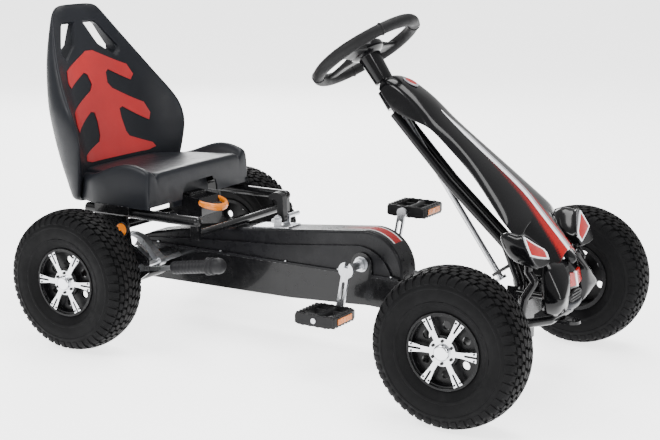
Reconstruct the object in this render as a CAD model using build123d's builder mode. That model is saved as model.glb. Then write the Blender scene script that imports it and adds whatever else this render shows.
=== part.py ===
from build123d import *
import os
from math import acos, cos, degrees, pi, radians, sin

# Pedal go-kart. Millimetres. +X is forward, +Y is the driver's left, +Z is up.
# The origin lies on the ground, under the centre of the bounding box.

os.makedirs("parts", exist_ok=True)

# ---------------------------------------------------------------- driving dimensions
REAR_AXLE_X = -395.0
FRONT_AXLE_X = 489.0
AXLE_Z = 150.0
REAR_TRACK = 304.0           # centre plane of a rear tyre, from the kart's centre plane
FRONT_TRACK = 313.0

TYRE_RADIUS = 150.0
TYRE_HALF_WIDTH = 49.3
BEAD_RADIUS = 68.5
RIM_INNER_RADIUS = 64.5
FLANGE_RADIUS = 72.0
RIM_HALF_WIDTH = 38.0
HUB_HALF_LENGTH = 34.0
HUB_RADIUS = 24.0
SPOKE_COUNT = 6

AXLE_RADIUS = 8.5
BEARING_RADIUS = 17.5
BEARING_WIDTH = 10.0
RUNNING_GAP = 0.05           # radial clearance of every turning fit

KINGPIN_Y = 240.0
KINGPIN_RADIUS = 8.0
STEERING_ARM = 60.0
STUB_REACH = 28.0            # how far an axle end passes the wheel's centre plane

WHEEL_CENTRE = Vector(128, 0, 636)           # steering wheel
COLUMN_DOWN = Vector(0.588, 0, -0.809).normalized()
COLUMN_LENGTH = 539.0
COLUMN_RADIUS = 6.0
STEERING_RIM_RADIUS = 112.0
STEERING_TUBE_RADIUS = 13.0

CRANK_X = 147.0
CRANK_Z = 200.0
CRANK_LENGTH = 85.0
CRANK_ANGLE = 10.0           # lean of the right-hand arm from straight down, towards the rear
CRANK_ARM_Y = 104.0
CRANK_ARM_THICKNESS = 6.0
PEDAL_Y = 163.0
CHAIN_PITCH = 12.7
CHAINWHEEL_TEETH = 28
SPROCKET_TEETH = 18

BEAM_HALF_WIDTH = 43.0
BEAM_WALL = 3.0
BEAM_TOP = 175.0
COVER_WALL = 3.0

RAIL_Y = 172.0
RAIL_Z = 274.0
RAIL_RADIUS = 11.0
SLIDE_GAP = 0.3

BRAKE_SHAFT = (-322.0, 160.0)                # x, z of the transverse shaft
BRAKE_LEVER_Y = -206.0
BRAKE_SHAFT_END = -36.0
BRAKE_TRAVEL = 20.0
DRUM_RADIUS = 32.0

GEAR_SHAFT = (-75.0, 264.0)


# ---------------------------------------------------------------- helpers
def finish_piece(builder, node):
    """Labels one finished piece and writes it as its own file."""
    builder.part.label = node
    export_step(builder.part, f"parts/{node}.step")


def side_plane(y):
    """Side view of the kart at one Y: sketch x is +X, sketch y is +Z, normal is -Y."""
    return Plane(origin=(0, y, 0), x_dir=(1, 0, 0), z_dir=(0, -1, 0))


def across_plane(x, y, z, side):
    """A plane whose normal points outboard (side is -1 on the right, +1 on the left)."""
    return Plane(origin=(x, y, z), x_dir=(1, 0, 0), z_dir=(0, side, 0))


def column_plane(distance):
    """A plane square to the steering column, at a distance below the wheel's centre."""
    return Plane(
        origin=WHEEL_CENTRE + COLUMN_DOWN * distance,
        x_dir=(-COLUMN_DOWN.Z, 0, COLUMN_DOWN.X),
        z_dir=COLUMN_DOWN,
    )


def pitch_radius(teeth):
    return CHAIN_PITCH / (2 * sin(pi / teeth))


WHEELS = {
    "rear_right": (REAR_AXLE_X, REAR_TRACK, -1),
    "rear_left": (REAR_AXLE_X, REAR_TRACK, 1),
    "front_right": (FRONT_AXLE_X, FRONT_TRACK, -1),
    "front_left": (FRONT_AXLE_X, FRONT_TRACK, 1),
}


# ---------------------------------------------------------------- wheels
def wheel_plane(axle_x, track, side):
    """Half section of a wheel: sketch x is the radius, sketch y is outboard."""
    return Plane(origin=(axle_x, side * track, AXLE_Z), x_dir=(1, 0, 0), z_dir=(0, 0, side))


def make_tyre(corner):
    axle_x, track, side = WHEELS[corner]
    bead, wall = BEAD_RADIUS, 7.0
    with BuildPart() as tyre:
        with BuildSketch(wheel_plane(axle_x, track, side)):
            with BuildLine():
                toe = Line((bead, 27), (bead, 34.9))
                heel = Line(toe @ 1, (FLANGE_RADIUS + 1, 34.9))
                wall_low = ThreePointArc(heel @ 1, (88, 45.5), (108, TYRE_HALF_WIDTH))
                wall_high = ThreePointArc(wall_low @ 1, (129, 47), (142, 39))
                ThreePointArc(wall_high @ 1, (TYRE_RADIUS, 0), (142, -39))
                Line((FLANGE_RADIUS + 1, -34.9), (bead, -34.9))
                Line((bead, -34.9), (bead, -27))
                ThreePointArc((142, -39), (129, -47), (108, -TYRE_HALF_WIDTH))
                ThreePointArc((108, -TYRE_HALF_WIDTH), (88, -45.5), (FLANGE_RADIUS + 1, -34.9))
                Line((bead, -27), (bead + 8, -27))
                ThreePointArc((bead + 8, -27), (86, -38), (108, -TYRE_HALF_WIDTH + wall))
                ThreePointArc((108, -TYRE_HALF_WIDTH + wall), (126, -40), (136, -33))
                ThreePointArc((136, -33), (TYRE_RADIUS - 7.5, 0), (136, 33))
                ThreePointArc((136, 33), (126, 40), (108, TYRE_HALF_WIDTH - wall))
                ThreePointArc((108, TYRE_HALF_WIDTH - wall), (86, 38), (bead + 8, 27))
                Line((bead + 8, 27), (bead, 27))
            make_face()
        revolve(axis=Axis((axle_x, 0, AXLE_Z), (0, 1, 0)))
    finish_piece(tyre, f"tyre_{corner}")


def make_rim(corner):
    axle_x, track, side = WHEELS[corner]
    bore = AXLE_RADIUS if corner == "rear_left" else BEARING_RADIUS
    flange = FLANGE_RADIUS
    section = [
        (bore, -HUB_HALF_LENGTH), (HUB_RADIUS, -HUB_HALF_LENGTH), (HUB_RADIUS, 16),
        (RIM_INNER_RADIUS, 16), (RIM_INNER_RADIUS, -RIM_HALF_WIDTH), (flange, -RIM_HALF_WIDTH),
        (flange, -35), (BEAD_RADIUS, -35), (BEAD_RADIUS, 35), (flange, 35),
        (flange, RIM_HALF_WIDTH), (68, RIM_HALF_WIDTH), (68, HUB_HALF_LENGTH),
        (RIM_INNER_RADIUS, HUB_HALF_LENGTH), (RIM_INNER_RADIUS, 22), (30, 22),
        (30, HUB_HALF_LENGTH), (bore, HUB_HALF_LENGTH),
    ]
    with BuildPart() as rim:
        with BuildSketch(wheel_plane(axle_x, track, side)):
            Polygon(*section, align=None)
        revolve(axis=Axis((axle_x, 0, AXLE_Z), (0, 1, 0)))
        with BuildSketch(across_plane(axle_x, side * (track + 16), AXLE_Z, side)):
            with PolarLocations(46, SPOKE_COUNT, start_angle=30):
                Circle(8)
        extrude(amount=6, mode=Mode.SUBTRACT)
    finish_piece(rim, f"rim_{corner}")


def make_trim(corner):
    axle_x, track, side = WHEELS[corner]
    tip, root = 67.0, 22.0
    with BuildPart() as trim:
        with BuildSketch(across_plane(axle_x, side * (track + HUB_HALF_LENGTH), AXLE_Z, side)):
            Circle(26)
            with PolarLocations(0, SPOKE_COUNT):
                Polygon((root, -5), (40, -5.5), (tip, -9.5), (tip, 9.5), (40, 5.5),
                        (root, 5), align=None)
            with PolarLocations(tip - 11, SPOKE_COUNT):
                SlotOverall(26, 4, mode=Mode.SUBTRACT)
            Circle(13, mode=Mode.SUBTRACT)
        extrude(amount=4)
    finish_piece(trim, f"trim_{corner}")


def make_hub_cap(corner):
    axle_x, track, side = WHEELS[corner]
    with BuildPart() as cap:
        with BuildSketch(across_plane(axle_x, side * (track + 34.2), AXLE_Z, side)):
            Circle(12.9)
        extrude(amount=3.8)
        with BuildSketch(across_plane(axle_x, side * (track + 38), AXLE_Z, side)):
            Circle(15.5)
        extrude(amount=8)
        outer_face = cap.faces().filter_by(GeomType.PLANE).sort_by(Axis.Y)[-1 if side > 0 else 0]
        fillet(outer_face.edges(), radius=5)
    finish_piece(cap, f"hub_cap_{corner}")


def make_wheel_bearings(corner):
    """Two ball bearings, shown as their outer size with the shield step."""
    axle_x, track, side = WHEELS[corner]
    with BuildPart() as bearings:
        for start in (-30.0, 12.0):
            with BuildSketch(across_plane(axle_x, side * (track + start), AXLE_Z, side)):
                Circle(BEARING_RADIUS)
                Circle(AXLE_RADIUS + RUNNING_GAP, mode=Mode.SUBTRACT)
            extrude(amount=BEARING_WIDTH)
    finish_piece(bearings, f"bearings_{corner}")


for corner_name in WHEELS:
    make_tyre(corner_name)
    make_rim(corner_name)
    make_trim(corner_name)
    make_hub_cap(corner_name)
    if corner_name != "rear_left":
        make_wheel_bearings(corner_name)


# ---------------------------------------------------------------- main beam and chain case
BEAM_OUTLINE = [
    (-440, BEAM_TOP), (-455, 152), (-448, 120), (-402, 98), (-26, 103), (165, 114),
    (225, 112), (290, 86), (507, 86), (507, 116), (330, 116), (262, 150), (240, BEAM_TOP),
]
BEAM_HOLLOW = [
    (-437, 176), (-451, 152), (-445, 122), (-401, 101), (-26, 106), (165, 117),
    (224, 117), (236, 176),
]
AXLE_HOLE_RADIUS = 14.0
EAR_RADIUS = 24.0

with BuildPart() as main_beam:
    with BuildSketch(side_plane(0)):
        Polygon(*BEAM_OUTLINE, align=None)
    extrude(amount=BEAM_HALF_WIDTH, both=True)
    with BuildSketch(side_plane(0)):
        Polygon(*BEAM_HOLLOW, align=None)
    extrude(amount=BEAM_HALF_WIDTH - BEAM_WALL, both=True, mode=Mode.SUBTRACT)
    # The front of the beam is a narrower arm that passes under the front axle.
    for side in (-1, 1):
        with BuildSketch(side_plane(side * 34)):
            with Locations((380, 115)):
                Rectangle(260, 90)
        extrude(amount=9 * -side, both=True, mode=Mode.SUBTRACT)
    # Ears that carry the crank bearings.
    for side in (-1, 1):
        with BuildSketch(side_plane(side * (BEAM_HALF_WIDTH - 3.5))):
            with Locations((CRANK_X, CRANK_Z)):
                Circle(EAR_RADIUS)
            with Locations((CRANK_X, (CRANK_Z + BEAM_TOP) / 2 - 5)):
                Rectangle(2 * EAR_RADIUS, CRANK_Z - BEAM_TOP + 10)
        extrude(amount=3.5, both=True)
        with BuildSketch(side_plane(side * (BEAM_HALF_WIDTH - 3.5))):
            with Locations((CRANK_X, CRANK_Z)):
                Circle(BEARING_RADIUS - 1.5)
            with Locations((REAR_AXLE_X, AXLE_Z)):
                Circle(AXLE_HOLE_RADIUS)
        extrude(amount=6, both=True, mode=Mode.SUBTRACT)
    # The brake shaft enters through the right wall only.
    with BuildSketch(side_plane(-BEAM_HALF_WIDTH)):
        with Locations(BRAKE_SHAFT):
            Circle(6 + RUNNING_GAP)
    extrude(amount=6, both=True, mode=Mode.SUBTRACT)
finish_piece(main_beam, "main_beam")


# ---------------------------------------------------------------- chain case
COVER_TOP = [(-408, 198), (-323, 216), (-227, 230), (-58, 247), (149, 269)]
UPPER_HALF_WIDTH = 33.0
LOWER_HALF_WIDTH = 38.0
FLANGE_THICKNESS = 5.0

with BuildPart() as chain_cover:
    # Upper, narrower half with its rounded top edges.
    with BuildSketch(side_plane(0)):
        with BuildLine():
            Polyline((236, BEAM_TOP), (-446, BEAM_TOP), (-438, 186), *COVER_TOP)
            ThreePointArc(COVER_TOP[-1], (213, 243), (236, BEAM_TOP))
        make_face()
    extrude(amount=UPPER_HALF_WIDTH, both=True)
    fillet(chain_cover.faces().sort_by(Axis.Y)[-1].edges().filter_by_position(
        Axis.Z, BEAM_TOP + 6, 300), radius=6)
    fillet(chain_cover.faces().sort_by(Axis.Y)[0].edges().filter_by_position(
        Axis.Z, BEAM_TOP + 6, 300), radius=6)
    # Lower half stands out as a step along both sides.
    with BuildSketch(side_plane(0)):
        with BuildLine():
            Polyline((216, BEAM_TOP), (-445, BEAM_TOP), (-438, 184), (-323, 196), (-58, 214),
                     (130, 236))
            ThreePointArc((130, 236), (184, 221), (216, BEAM_TOP))
        make_face()
    extrude(amount=LOWER_HALF_WIDTH, both=True)
    with BuildSketch(side_plane(0)):
        with Locations((-103, BEAM_TOP + FLANGE_THICKNESS / 2)):
            Rectangle(672, FLANGE_THICKNESS)
    extrude(amount=BEAM_HALF_WIDTH, both=True)
    # Hollow, open underneath, with room for the chain.
    with BuildSketch(side_plane(0)):
        with BuildLine():
            Polyline((231, 170), (-440, 170), (-434, 184), (-406, 195), (-322, 213), (-227, 227),
                     (-58, 244), (148, 266))
            ThreePointArc((148, 266), (209, 241), (231, 170))
        make_face()
    extrude(amount=UPPER_HALF_WIDTH - COVER_WALL, both=True, mode=Mode.SUBTRACT)
    # Holes for the crank axle, and notches in the flange around the crank's bearing ears.
    with BuildSketch(side_plane(0)):
        with Locations((CRANK_X, CRANK_Z)):
            Circle(12)
    extrude(amount=BEAM_HALF_WIDTH, both=True, mode=Mode.SUBTRACT)
    for side in (-1, 1):
        with BuildSketch(side_plane(side * (BEAM_HALF_WIDTH - 3))):
            with Locations((CRANK_X, CRANK_Z)):
                Circle(EAR_RADIUS + 0.5)
            with Locations((CRANK_X, BEAM_TOP + 5)):
                Rectangle(2 * EAR_RADIUS + 1, 40)
        extrude(amount=4.2, both=True, mode=Mode.SUBTRACT)
finish_piece(chain_cover, "chain_cover")

with BuildPart() as cover_bolts:
    for side in (-1, 1):
        for x in (-380, -210, -40, 90, 216):
            with BuildSketch(Plane((x, side * 40.5, BEAM_TOP + FLANGE_THICKNESS))):
                RegularPolygon(2.4, 6)
            extrude(amount=2.5)
finish_piece(cover_bolts, "cover_bolts")

# ---------------------------------------------------------------- rear frame
PLATE_Y = 172.0
PLATE_THICKNESS = 6.0
BOSS_RADIUS = 26.0
BOSS_HALF_LENGTH = 7.0
SIDE_PLATE = [
    (-450, 270), (-362, 270), (-352, 205), (-306, 176), (-306, 146), (-345, 116),
    (REAR_AXLE_X, 120), (-428, 132),
]

with BuildPart() as rear_frame:
    for side in (-1, 1):
        with BuildSketch(Plane(origin=(-470, side * RAIL_Y, RAIL_Z), z_dir=(1, 0, 0))):
            Circle(RAIL_RADIUS)
        extrude(amount=305 - RAIL_RADIUS)
        with Locations((-165 - RAIL_RADIUS, side * RAIL_Y, RAIL_Z)):
            Sphere(RAIL_RADIUS)
        with BuildSketch(Plane(origin=(-471, side * RAIL_Y, RAIL_Z), z_dir=(1, 0, 0))):
            Circle(RAIL_RADIUS - 2)
        extrude(amount=295, mode=Mode.SUBTRACT)
        with BuildSketch(side_plane(side * PLATE_Y)):
            Polygon(*SIDE_PLATE, align=None)
        extrude(amount=PLATE_THICKNESS / 2, both=True)
        with BuildSketch(side_plane(side * PLATE_Y)):
            with Locations((REAR_AXLE_X, AXLE_Z)):
                Circle(BOSS_RADIUS)
        extrude(amount=BOSS_HALF_LENGTH, both=True)
        # Tubes that join the side plates to the main beam.
        with BuildSketch(side_plane(side * BEAM_HALF_WIDTH)):
            with Locations((-345, 133)):
                Circle(12.5)
        extrude(amount=-side * (PLATE_Y - BEAM_HALF_WIDTH))
        # Lugs under the front ends of the rails.
        with BuildSketch(side_plane(side * PLATE_Y)):
            with Locations((-179, 252)):
                Rectangle(20, 30)
        extrude(amount=PLATE_THICKNESS, both=True)
    for x, z, radius in ((-438, 222, 11), (-179, 247, 8)):
        with BuildSketch(side_plane(0)):
            with Locations((x, z)):
                Circle(radius)
        extrude(amount=PLATE_Y, both=True)
    for side in (-1, 1):
        with BuildSketch(side_plane(side * PLATE_Y)):
            with Locations((REAR_AXLE_X, AXLE_Z)):
                Circle(BEARING_RADIUS)
            with Locations(BRAKE_SHAFT):
                Circle(6 + RUNNING_GAP)
        extrude(amount=BOSS_HALF_LENGTH + 1, both=True, mode=Mode.SUBTRACT)
finish_piece(rear_frame, "rear_frame")

with BuildPart() as axle_bearings:
    for side in (-1, 1):
        with BuildSketch(side_plane(side * PLATE_Y)):
            with Locations((REAR_AXLE_X, AXLE_Z)):
                Circle(BEARING_RADIUS)
                Circle(AXLE_RADIUS + RUNNING_GAP, mode=Mode.SUBTRACT)
        extrude(amount=BEARING_WIDTH / 2, both=True)
finish_piece(axle_bearings, "axle_bearings")

with BuildPart() as rear_axle:
    with BuildSketch(side_plane(0)):
        with Locations((REAR_AXLE_X, AXLE_Z)):
            Circle(AXLE_RADIUS)
    extrude(amount=REAR_TRACK + STUB_REACH, both=True)
    for side, start in ((-1, 183), (1, 183)):
        with BuildSketch(across_plane(REAR_AXLE_X, side * start, AXLE_Z, side)):
            Circle(12)
        extrude(amount=REAR_TRACK - HUB_HALF_LENGTH - start - 0.3)
finish_piece(rear_axle, "rear_axle")


def draw_sprocket(centre, teeth, bore, holes=0):
    """Sketch of a sprocket: roller notches on the pitch circle and a round bore."""
    with Locations(centre):
        Circle(pitch_radius(teeth) + 3.2)
        with PolarLocations(pitch_radius(teeth), teeth):
            Circle(4.1, mode=Mode.SUBTRACT)
        if holes:
            with PolarLocations(pitch_radius(teeth) * 0.58, holes):
                Circle(9, mode=Mode.SUBTRACT)
        Circle(bore, mode=Mode.SUBTRACT)


with BuildPart() as rear_sprocket:
    with BuildSketch(side_plane(0)):
        draw_sprocket((REAR_AXLE_X, AXLE_Z), SPROCKET_TEETH, AXLE_RADIUS)
    extrude(amount=1.5, both=True)
    with BuildSketch(side_plane(-1.5)):
        with Locations((REAR_AXLE_X, AXLE_Z)):
            Circle(16)
            Circle(AXLE_RADIUS, mode=Mode.SUBTRACT)
    extrude(amount=12)
finish_piece(rear_sprocket, "rear_sprocket")

with BuildPart() as brake_drum:
    with BuildSketch(side_plane(-100)):
        with Locations((REAR_AXLE_X, AXLE_Z)):
            Circle(DRUM_RADIUS)
            Circle(AXLE_RADIUS, mode=Mode.SUBTRACT)
    extrude(amount=24)
finish_piece(brake_drum, "brake_drum")

# ---------------------------------------------------------------- chain drive
CRANK_CENTRE = (CRANK_X, CRANK_Z)
REAR_CENTRE = (REAR_AXLE_X, AXLE_Z)


def draw_chain_hull(grow):
    """Sketch of the belt-shaped outline around both sprockets, grown from the pitch circles."""
    with Locations(CRANK_CENTRE):
        Circle(pitch_radius(CHAINWHEEL_TEETH) + grow)
    with Locations(REAR_CENTRE):
        Circle(pitch_radius(SPROCKET_TEETH) + grow)
    make_hull()


def chain_run_points():
    """Roller centres on the two straight runs, clear of both sprockets."""
    big, small = pitch_radius(CHAINWHEEL_TEETH), pitch_radius(SPROCKET_TEETH)
    along = Vector(CRANK_X - REAR_AXLE_X, CRANK_Z - AXLE_Z)
    span = along.length
    unit = along.normalized()
    lean = acos((big - small) / span)
    points = []
    for sign in (-1, 1):
        across = unit.rotate(Axis.Z, sign * degrees(lean))
        start = Vector(*REAR_CENTRE) + across * small
        end = Vector(*CRANK_CENTRE) + across * big
        run = end - start
        count = int(run.length / CHAIN_PITCH)
        for link in range(2, count - 1):
            spot = start + run.normalized() * (link * CHAIN_PITCH)
            points.append((spot.X, spot.Y))
    return points


with BuildPart() as chain:
    for y in (3.5, -2.0):
        with BuildSketch(side_plane(y)):
            draw_chain_hull(4.2)
        extrude(amount=1.5)
        with BuildSketch(side_plane(y)):
            draw_chain_hull(-4.2)
        extrude(amount=1.5, mode=Mode.SUBTRACT)
    with BuildSketch(side_plane(2.5)):
        with Locations(*chain_run_points()):
            Circle(3.6)
    extrude(amount=5)
finish_piece(chain, "chain")

with BuildPart() as crank_bearings:
    for side in (-1, 1):
        with BuildSketch(side_plane(side * (BEAM_HALF_WIDTH - 1.2))):
            with Locations(CRANK_CENTRE):
                Circle(16)
                Circle(8 + RUNNING_GAP, mode=Mode.SUBTRACT)
        extrude(amount=3.5, both=True)
finish_piece(crank_bearings, "crank_bearings")

with BuildPart() as crank_axle:
    with BuildSketch(side_plane(0)):
        with Locations(CRANK_CENTRE):
            Circle(8)
    extrude(amount=CRANK_ARM_Y - CRANK_ARM_THICKNESS / 2, both=True)
    for side in (-1, 1):
        with BuildSketch(across_plane(CRANK_X, side * 46, CRANK_Z, side)):
            Circle(13)
        extrude(amount=8)
finish_piece(crank_axle, "crank_axle")

with BuildPart() as chainwheel:
    with BuildSketch(side_plane(0)):
        draw_sprocket(CRANK_CENTRE, CHAINWHEEL_TEETH, 8, holes=5)
    extrude(amount=1.5, both=True)
finish_piece(chainwheel, "chainwheel")


def crank_plane(y, side):
    """Side view whose sketch x runs along one crank arm, from the axle to the pedal."""
    turn = radians(CRANK_ANGLE)
    along = Vector(-sin(turn), 0, -cos(turn)) * -side
    return Plane(origin=(CRANK_X, y, CRANK_Z), x_dir=along, z_dir=(0, -1, 0))


def pedal_centre(side):
    along = crank_plane(0, side).x_dir
    return CRANK_X + CRANK_LENGTH * along.X, CRANK_Z + CRANK_LENGTH * along.Z


def make_crank(node, side):
    """A flat spanner-shaped arm with a long window, and the pedal's spindle."""
    reach = PEDAL_Y + 46
    with BuildPart() as crank:
        with BuildSketch(crank_plane(side * CRANK_ARM_Y, side)):
            Circle(17)
            with Locations((CRANK_LENGTH, 0)):
                Circle(11)
            with Locations((CRANK_LENGTH / 2, 0)):
                Rectangle(CRANK_LENGTH, 17)
            with Locations((-12, 0)):
                Rectangle(14, 9, mode=Mode.SUBTRACT)
            with Locations((46, 0)):
                SlotOverall(42, 7, mode=Mode.SUBTRACT)
        extrude(amount=CRANK_ARM_THICKNESS / 2, both=True)
        x, z = pedal_centre(side)
        with BuildSketch(across_plane(x, side * CRANK_ARM_Y, z, side)):
            Circle(5.5)
        extrude(amount=reach - CRANK_ARM_Y)
    finish_piece(crank, node)


def make_pedal(node, side):
    """An open cage pedal: sleeve, two outer bars and end plates."""
    x, z = pedal_centre(side)
    length, width, height = 92.0, 90.0, 24.0
    with BuildPart() as pedal:
        with BuildSketch(Plane((x, side * PEDAL_Y, z))):
            RectangleRounded(length, width, 10)
        extrude(amount=height / 2, both=True)
        with BuildSketch(Plane((x, side * PEDAL_Y, z))):
            with GridLocations(44, 0, 2, 1):
                RectangleRounded(24, width - 20, 4)
        extrude(amount=height, both=True, mode=Mode.SUBTRACT)
        with BuildSketch(across_plane(x, side * PEDAL_Y, z, side)):
            Circle(5.5 + RUNNING_GAP)
        extrude(amount=width, both=True, mode=Mode.SUBTRACT)
    finish_piece(pedal, node)


for name, side in (("right", -1), ("left", 1)):
    make_crank(f"crank_{name}", side)
    make_pedal(f"pedal_{name}", side)

# ---------------------------------------------------------------- hand brake
def brake_plane(y, turn):
    """Side view centred on the brake shaft and turned back by an angle, in degrees."""
    x, z = BRAKE_SHAFT
    lean = radians(turn)
    return Plane(origin=(x, y, z), x_dir=(cos(lean), 0, -sin(lean)), z_dir=(0, -1, 0))


LEVER_RISE = 9.5
GRIP_START = 108.0
GRIP_END = 242.0

with BuildPart() as brake_shaft:
    with BuildSketch(side_plane(BRAKE_LEVER_Y - 6)):
        with Locations(BRAKE_SHAFT):
            Circle(6)
    extrude(amount=BRAKE_LEVER_Y - 6 - BRAKE_SHAFT_END)
    # The shoe, drawn where it meets the drum and turned back to its released place.
    axle_from_shaft = (REAR_AXLE_X - BRAKE_SHAFT[0], AXLE_Z - BRAKE_SHAFT[1])
    with BuildSketch(brake_plane(-102, BRAKE_TRAVEL)):
        with Locations(axle_from_shaft):
            Circle(DRUM_RADIUS + 8)
            Circle(DRUM_RADIUS + 0.5, mode=Mode.SUBTRACT)
            with Locations((0, -14)):
                Rectangle(120, 80, mode=Mode.SUBTRACT)
        Polygon((0, 9), (-52, 31), (-70, 31), (-70, 24), (-52, 21), (0, -9), align=None)
        Circle(11)
    extrude(amount=20)
finish_piece(brake_shaft, "brake_shaft")

with BuildPart() as brake_lever:
    with BuildSketch(brake_plane(BRAKE_LEVER_Y, -LEVER_RISE)):
        Circle(12)
        with Locations((GRIP_START / 2, 0)):
            Rectangle(GRIP_START, 9)
    extrude(amount=5, both=True)
    with BuildSketch(Plane(
        origin=brake_plane(BRAKE_LEVER_Y, -LEVER_RISE).from_local_coords((GRIP_START, 0, 0)),
        z_dir=brake_plane(BRAKE_LEVER_Y, -LEVER_RISE).x_dir,
    )):
        Circle(5)
    extrude(amount=GRIP_END - GRIP_START - 12)
    with BuildSketch(brake_plane(BRAKE_LEVER_Y, -LEVER_RISE)):
        Circle(6)
    extrude(amount=7, both=True, mode=Mode.SUBTRACT)
finish_piece(brake_lever, "brake_lever")

with BuildPart() as brake_grip:
    with BuildSketch(brake_plane(BRAKE_LEVER_Y, -LEVER_RISE)):
        with BuildLine():
            Polyline((GRIP_START, 5), (GRIP_START, 12), (GRIP_START + 4, 14), (204, 14),
                     (206, 19), (211, 19), (213, 15))
            ThreePointArc((213, 15), (229, 15), (GRIP_END, 4))
            Polyline((GRIP_END, 4), (GRIP_END, 0), (GRIP_END - 12, 0), (GRIP_END - 12, 5),
                     (GRIP_START, 5))
        make_face()
    grip_axis = brake_plane(BRAKE_LEVER_Y, -LEVER_RISE)
    revolve(axis=Axis(grip_axis.origin, grip_axis.x_dir))
finish_piece(brake_grip, "brake_grip")

# ---------------------------------------------------------------- gear lever
GEAR_SLOPE = 5.74
COVER_AT_GEAR = 245.6
gear_base = Plane(
    origin=(GEAR_SHAFT[0], 0, COVER_AT_GEAR),
    x_dir=(cos(radians(GEAR_SLOPE)), 0, sin(radians(GEAR_SLOPE))),
    z_dir=(-sin(radians(GEAR_SLOPE)), 0, cos(radians(GEAR_SLOPE))),
)

with BuildPart() as gear_bracket:
    with BuildSketch(gear_base):
        with Locations((-14, 0)):
            RectangleRounded(96, 52, 5)
    extrude(amount=3)
    for side in (-1, 1):
        with BuildSketch(side_plane(side * 17.5)):
            with Locations(GEAR_SHAFT):
                Circle(9)
            with Locations((GEAR_SHAFT[0], GEAR_SHAFT[1] - 8)):
                Rectangle(18, 16)
        extrude(amount=1.5, both=True)
    with BuildSketch(side_plane(65)):
        with Locations(GEAR_SHAFT):
            Circle(5)
    extrude(amount=100)
finish_piece(gear_bracket, "gear_bracket")

with BuildPart() as gear_lever:
    with BuildSketch(side_plane(0)):
        with Locations(GEAR_SHAFT):
            Circle(10)
        with BuildLine():
            Polyline((-84, 264), (-82, 296))
            ThreePointArc((-82, 296), (-86, 302), (-98, 302))
            ThreePointArc((-98, 302), (-105, 308), (-100, 315))
            ThreePointArc((-100, 315), (-82, 319), (-69, 312))
            Polyline((-69, 312), (-66, 264), (-84, 264))
        make_face()
    extrude(amount=8, both=True)
    with BuildSketch(side_plane(0)):
        with Locations(GEAR_SHAFT):
            Circle(5 + RUNNING_GAP)
    extrude(amount=9, both=True, mode=Mode.SUBTRACT)
finish_piece(gear_lever, "gear_lever")

# ---------------------------------------------------------------- front frame
YOKE_Y = 220.0               # inboard face of a yoke's web
YOKE_WEB = 12.0
BEAM_SECTION = 36.0
YOKE_PLATES = ((122, 8), (170, 8))
STRUT_RADIUS = 9.0
STRUT_Y = 16.0
HEAD_RADIUS = 17.0
HEAD_BORE = 14.0
HEAD_START = 90.0
HEAD_END = 152.0
LOWER_BUSH = 520.0           # how far down the column the lower support sits

with BuildPart() as axle_beam:
    with BuildSketch(side_plane(0)):
        with Locations((FRONT_AXLE_X, AXLE_Z)):
            Rectangle(BEAM_SECTION, BEAM_SECTION)
            Rectangle(BEAM_SECTION - 6, BEAM_SECTION - 6, mode=Mode.SUBTRACT)
    extrude(amount=YOKE_Y - YOKE_WEB, both=True)
    for side in (-1, 1):
        with BuildSketch(Plane((FRONT_AXLE_X, side * (YOKE_Y - YOKE_WEB / 2), 122))):
            Rectangle(24, YOKE_WEB)
        extrude(amount=56)
        for bottom, thickness in YOKE_PLATES:
            with BuildSketch(Plane((FRONT_AXLE_X, side * KINGPIN_Y, bottom))):
                Circle(15)
                with Locations((0, -side * 16)):
                    Rectangle(24, 32)
            extrude(amount=thickness)
        with BuildSketch(Plane((FRONT_AXLE_X, side * KINGPIN_Y, 110))):
            Circle(KINGPIN_RADIUS)
        extrude(amount=80, mode=Mode.SUBTRACT)
    # Saddle that ties the axle beam to the arm of the main beam below it.
    with BuildSketch(Plane((FRONT_AXLE_X, 0, 116))):
        Rectangle(BEAM_SECTION, 44)
    extrude(amount=AXLE_Z - BEAM_SECTION / 2 - 116)
    # Uprights and bars that hold the nose.
    for side in (-1, 1):
        with BuildSketch(side_plane(side * 52)):
            with Locations((492, 186)):
                Rectangle(24, 37)
        extrude(amount=3, both=True)
        with BuildSketch(Plane(origin=(500, side * 52, 194), z_dir=(1, 0, 0))):
            Circle(6)
        extrude(amount=58)
finish_piece(axle_beam, "axle_beam")

with BuildPart() as kingpins:
    for side in (-1, 1):
        with BuildSketch(Plane((FRONT_AXLE_X, side * KINGPIN_Y, 116))):
            Circle(KINGPIN_RADIUS)
        extrude(amount=62)
        with BuildSketch(Plane((FRONT_AXLE_X, side * KINGPIN_Y, 178))):
            RegularPolygon(12, 6)
        extrude(amount=7)
finish_piece(kingpins, "kingpins")

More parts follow.
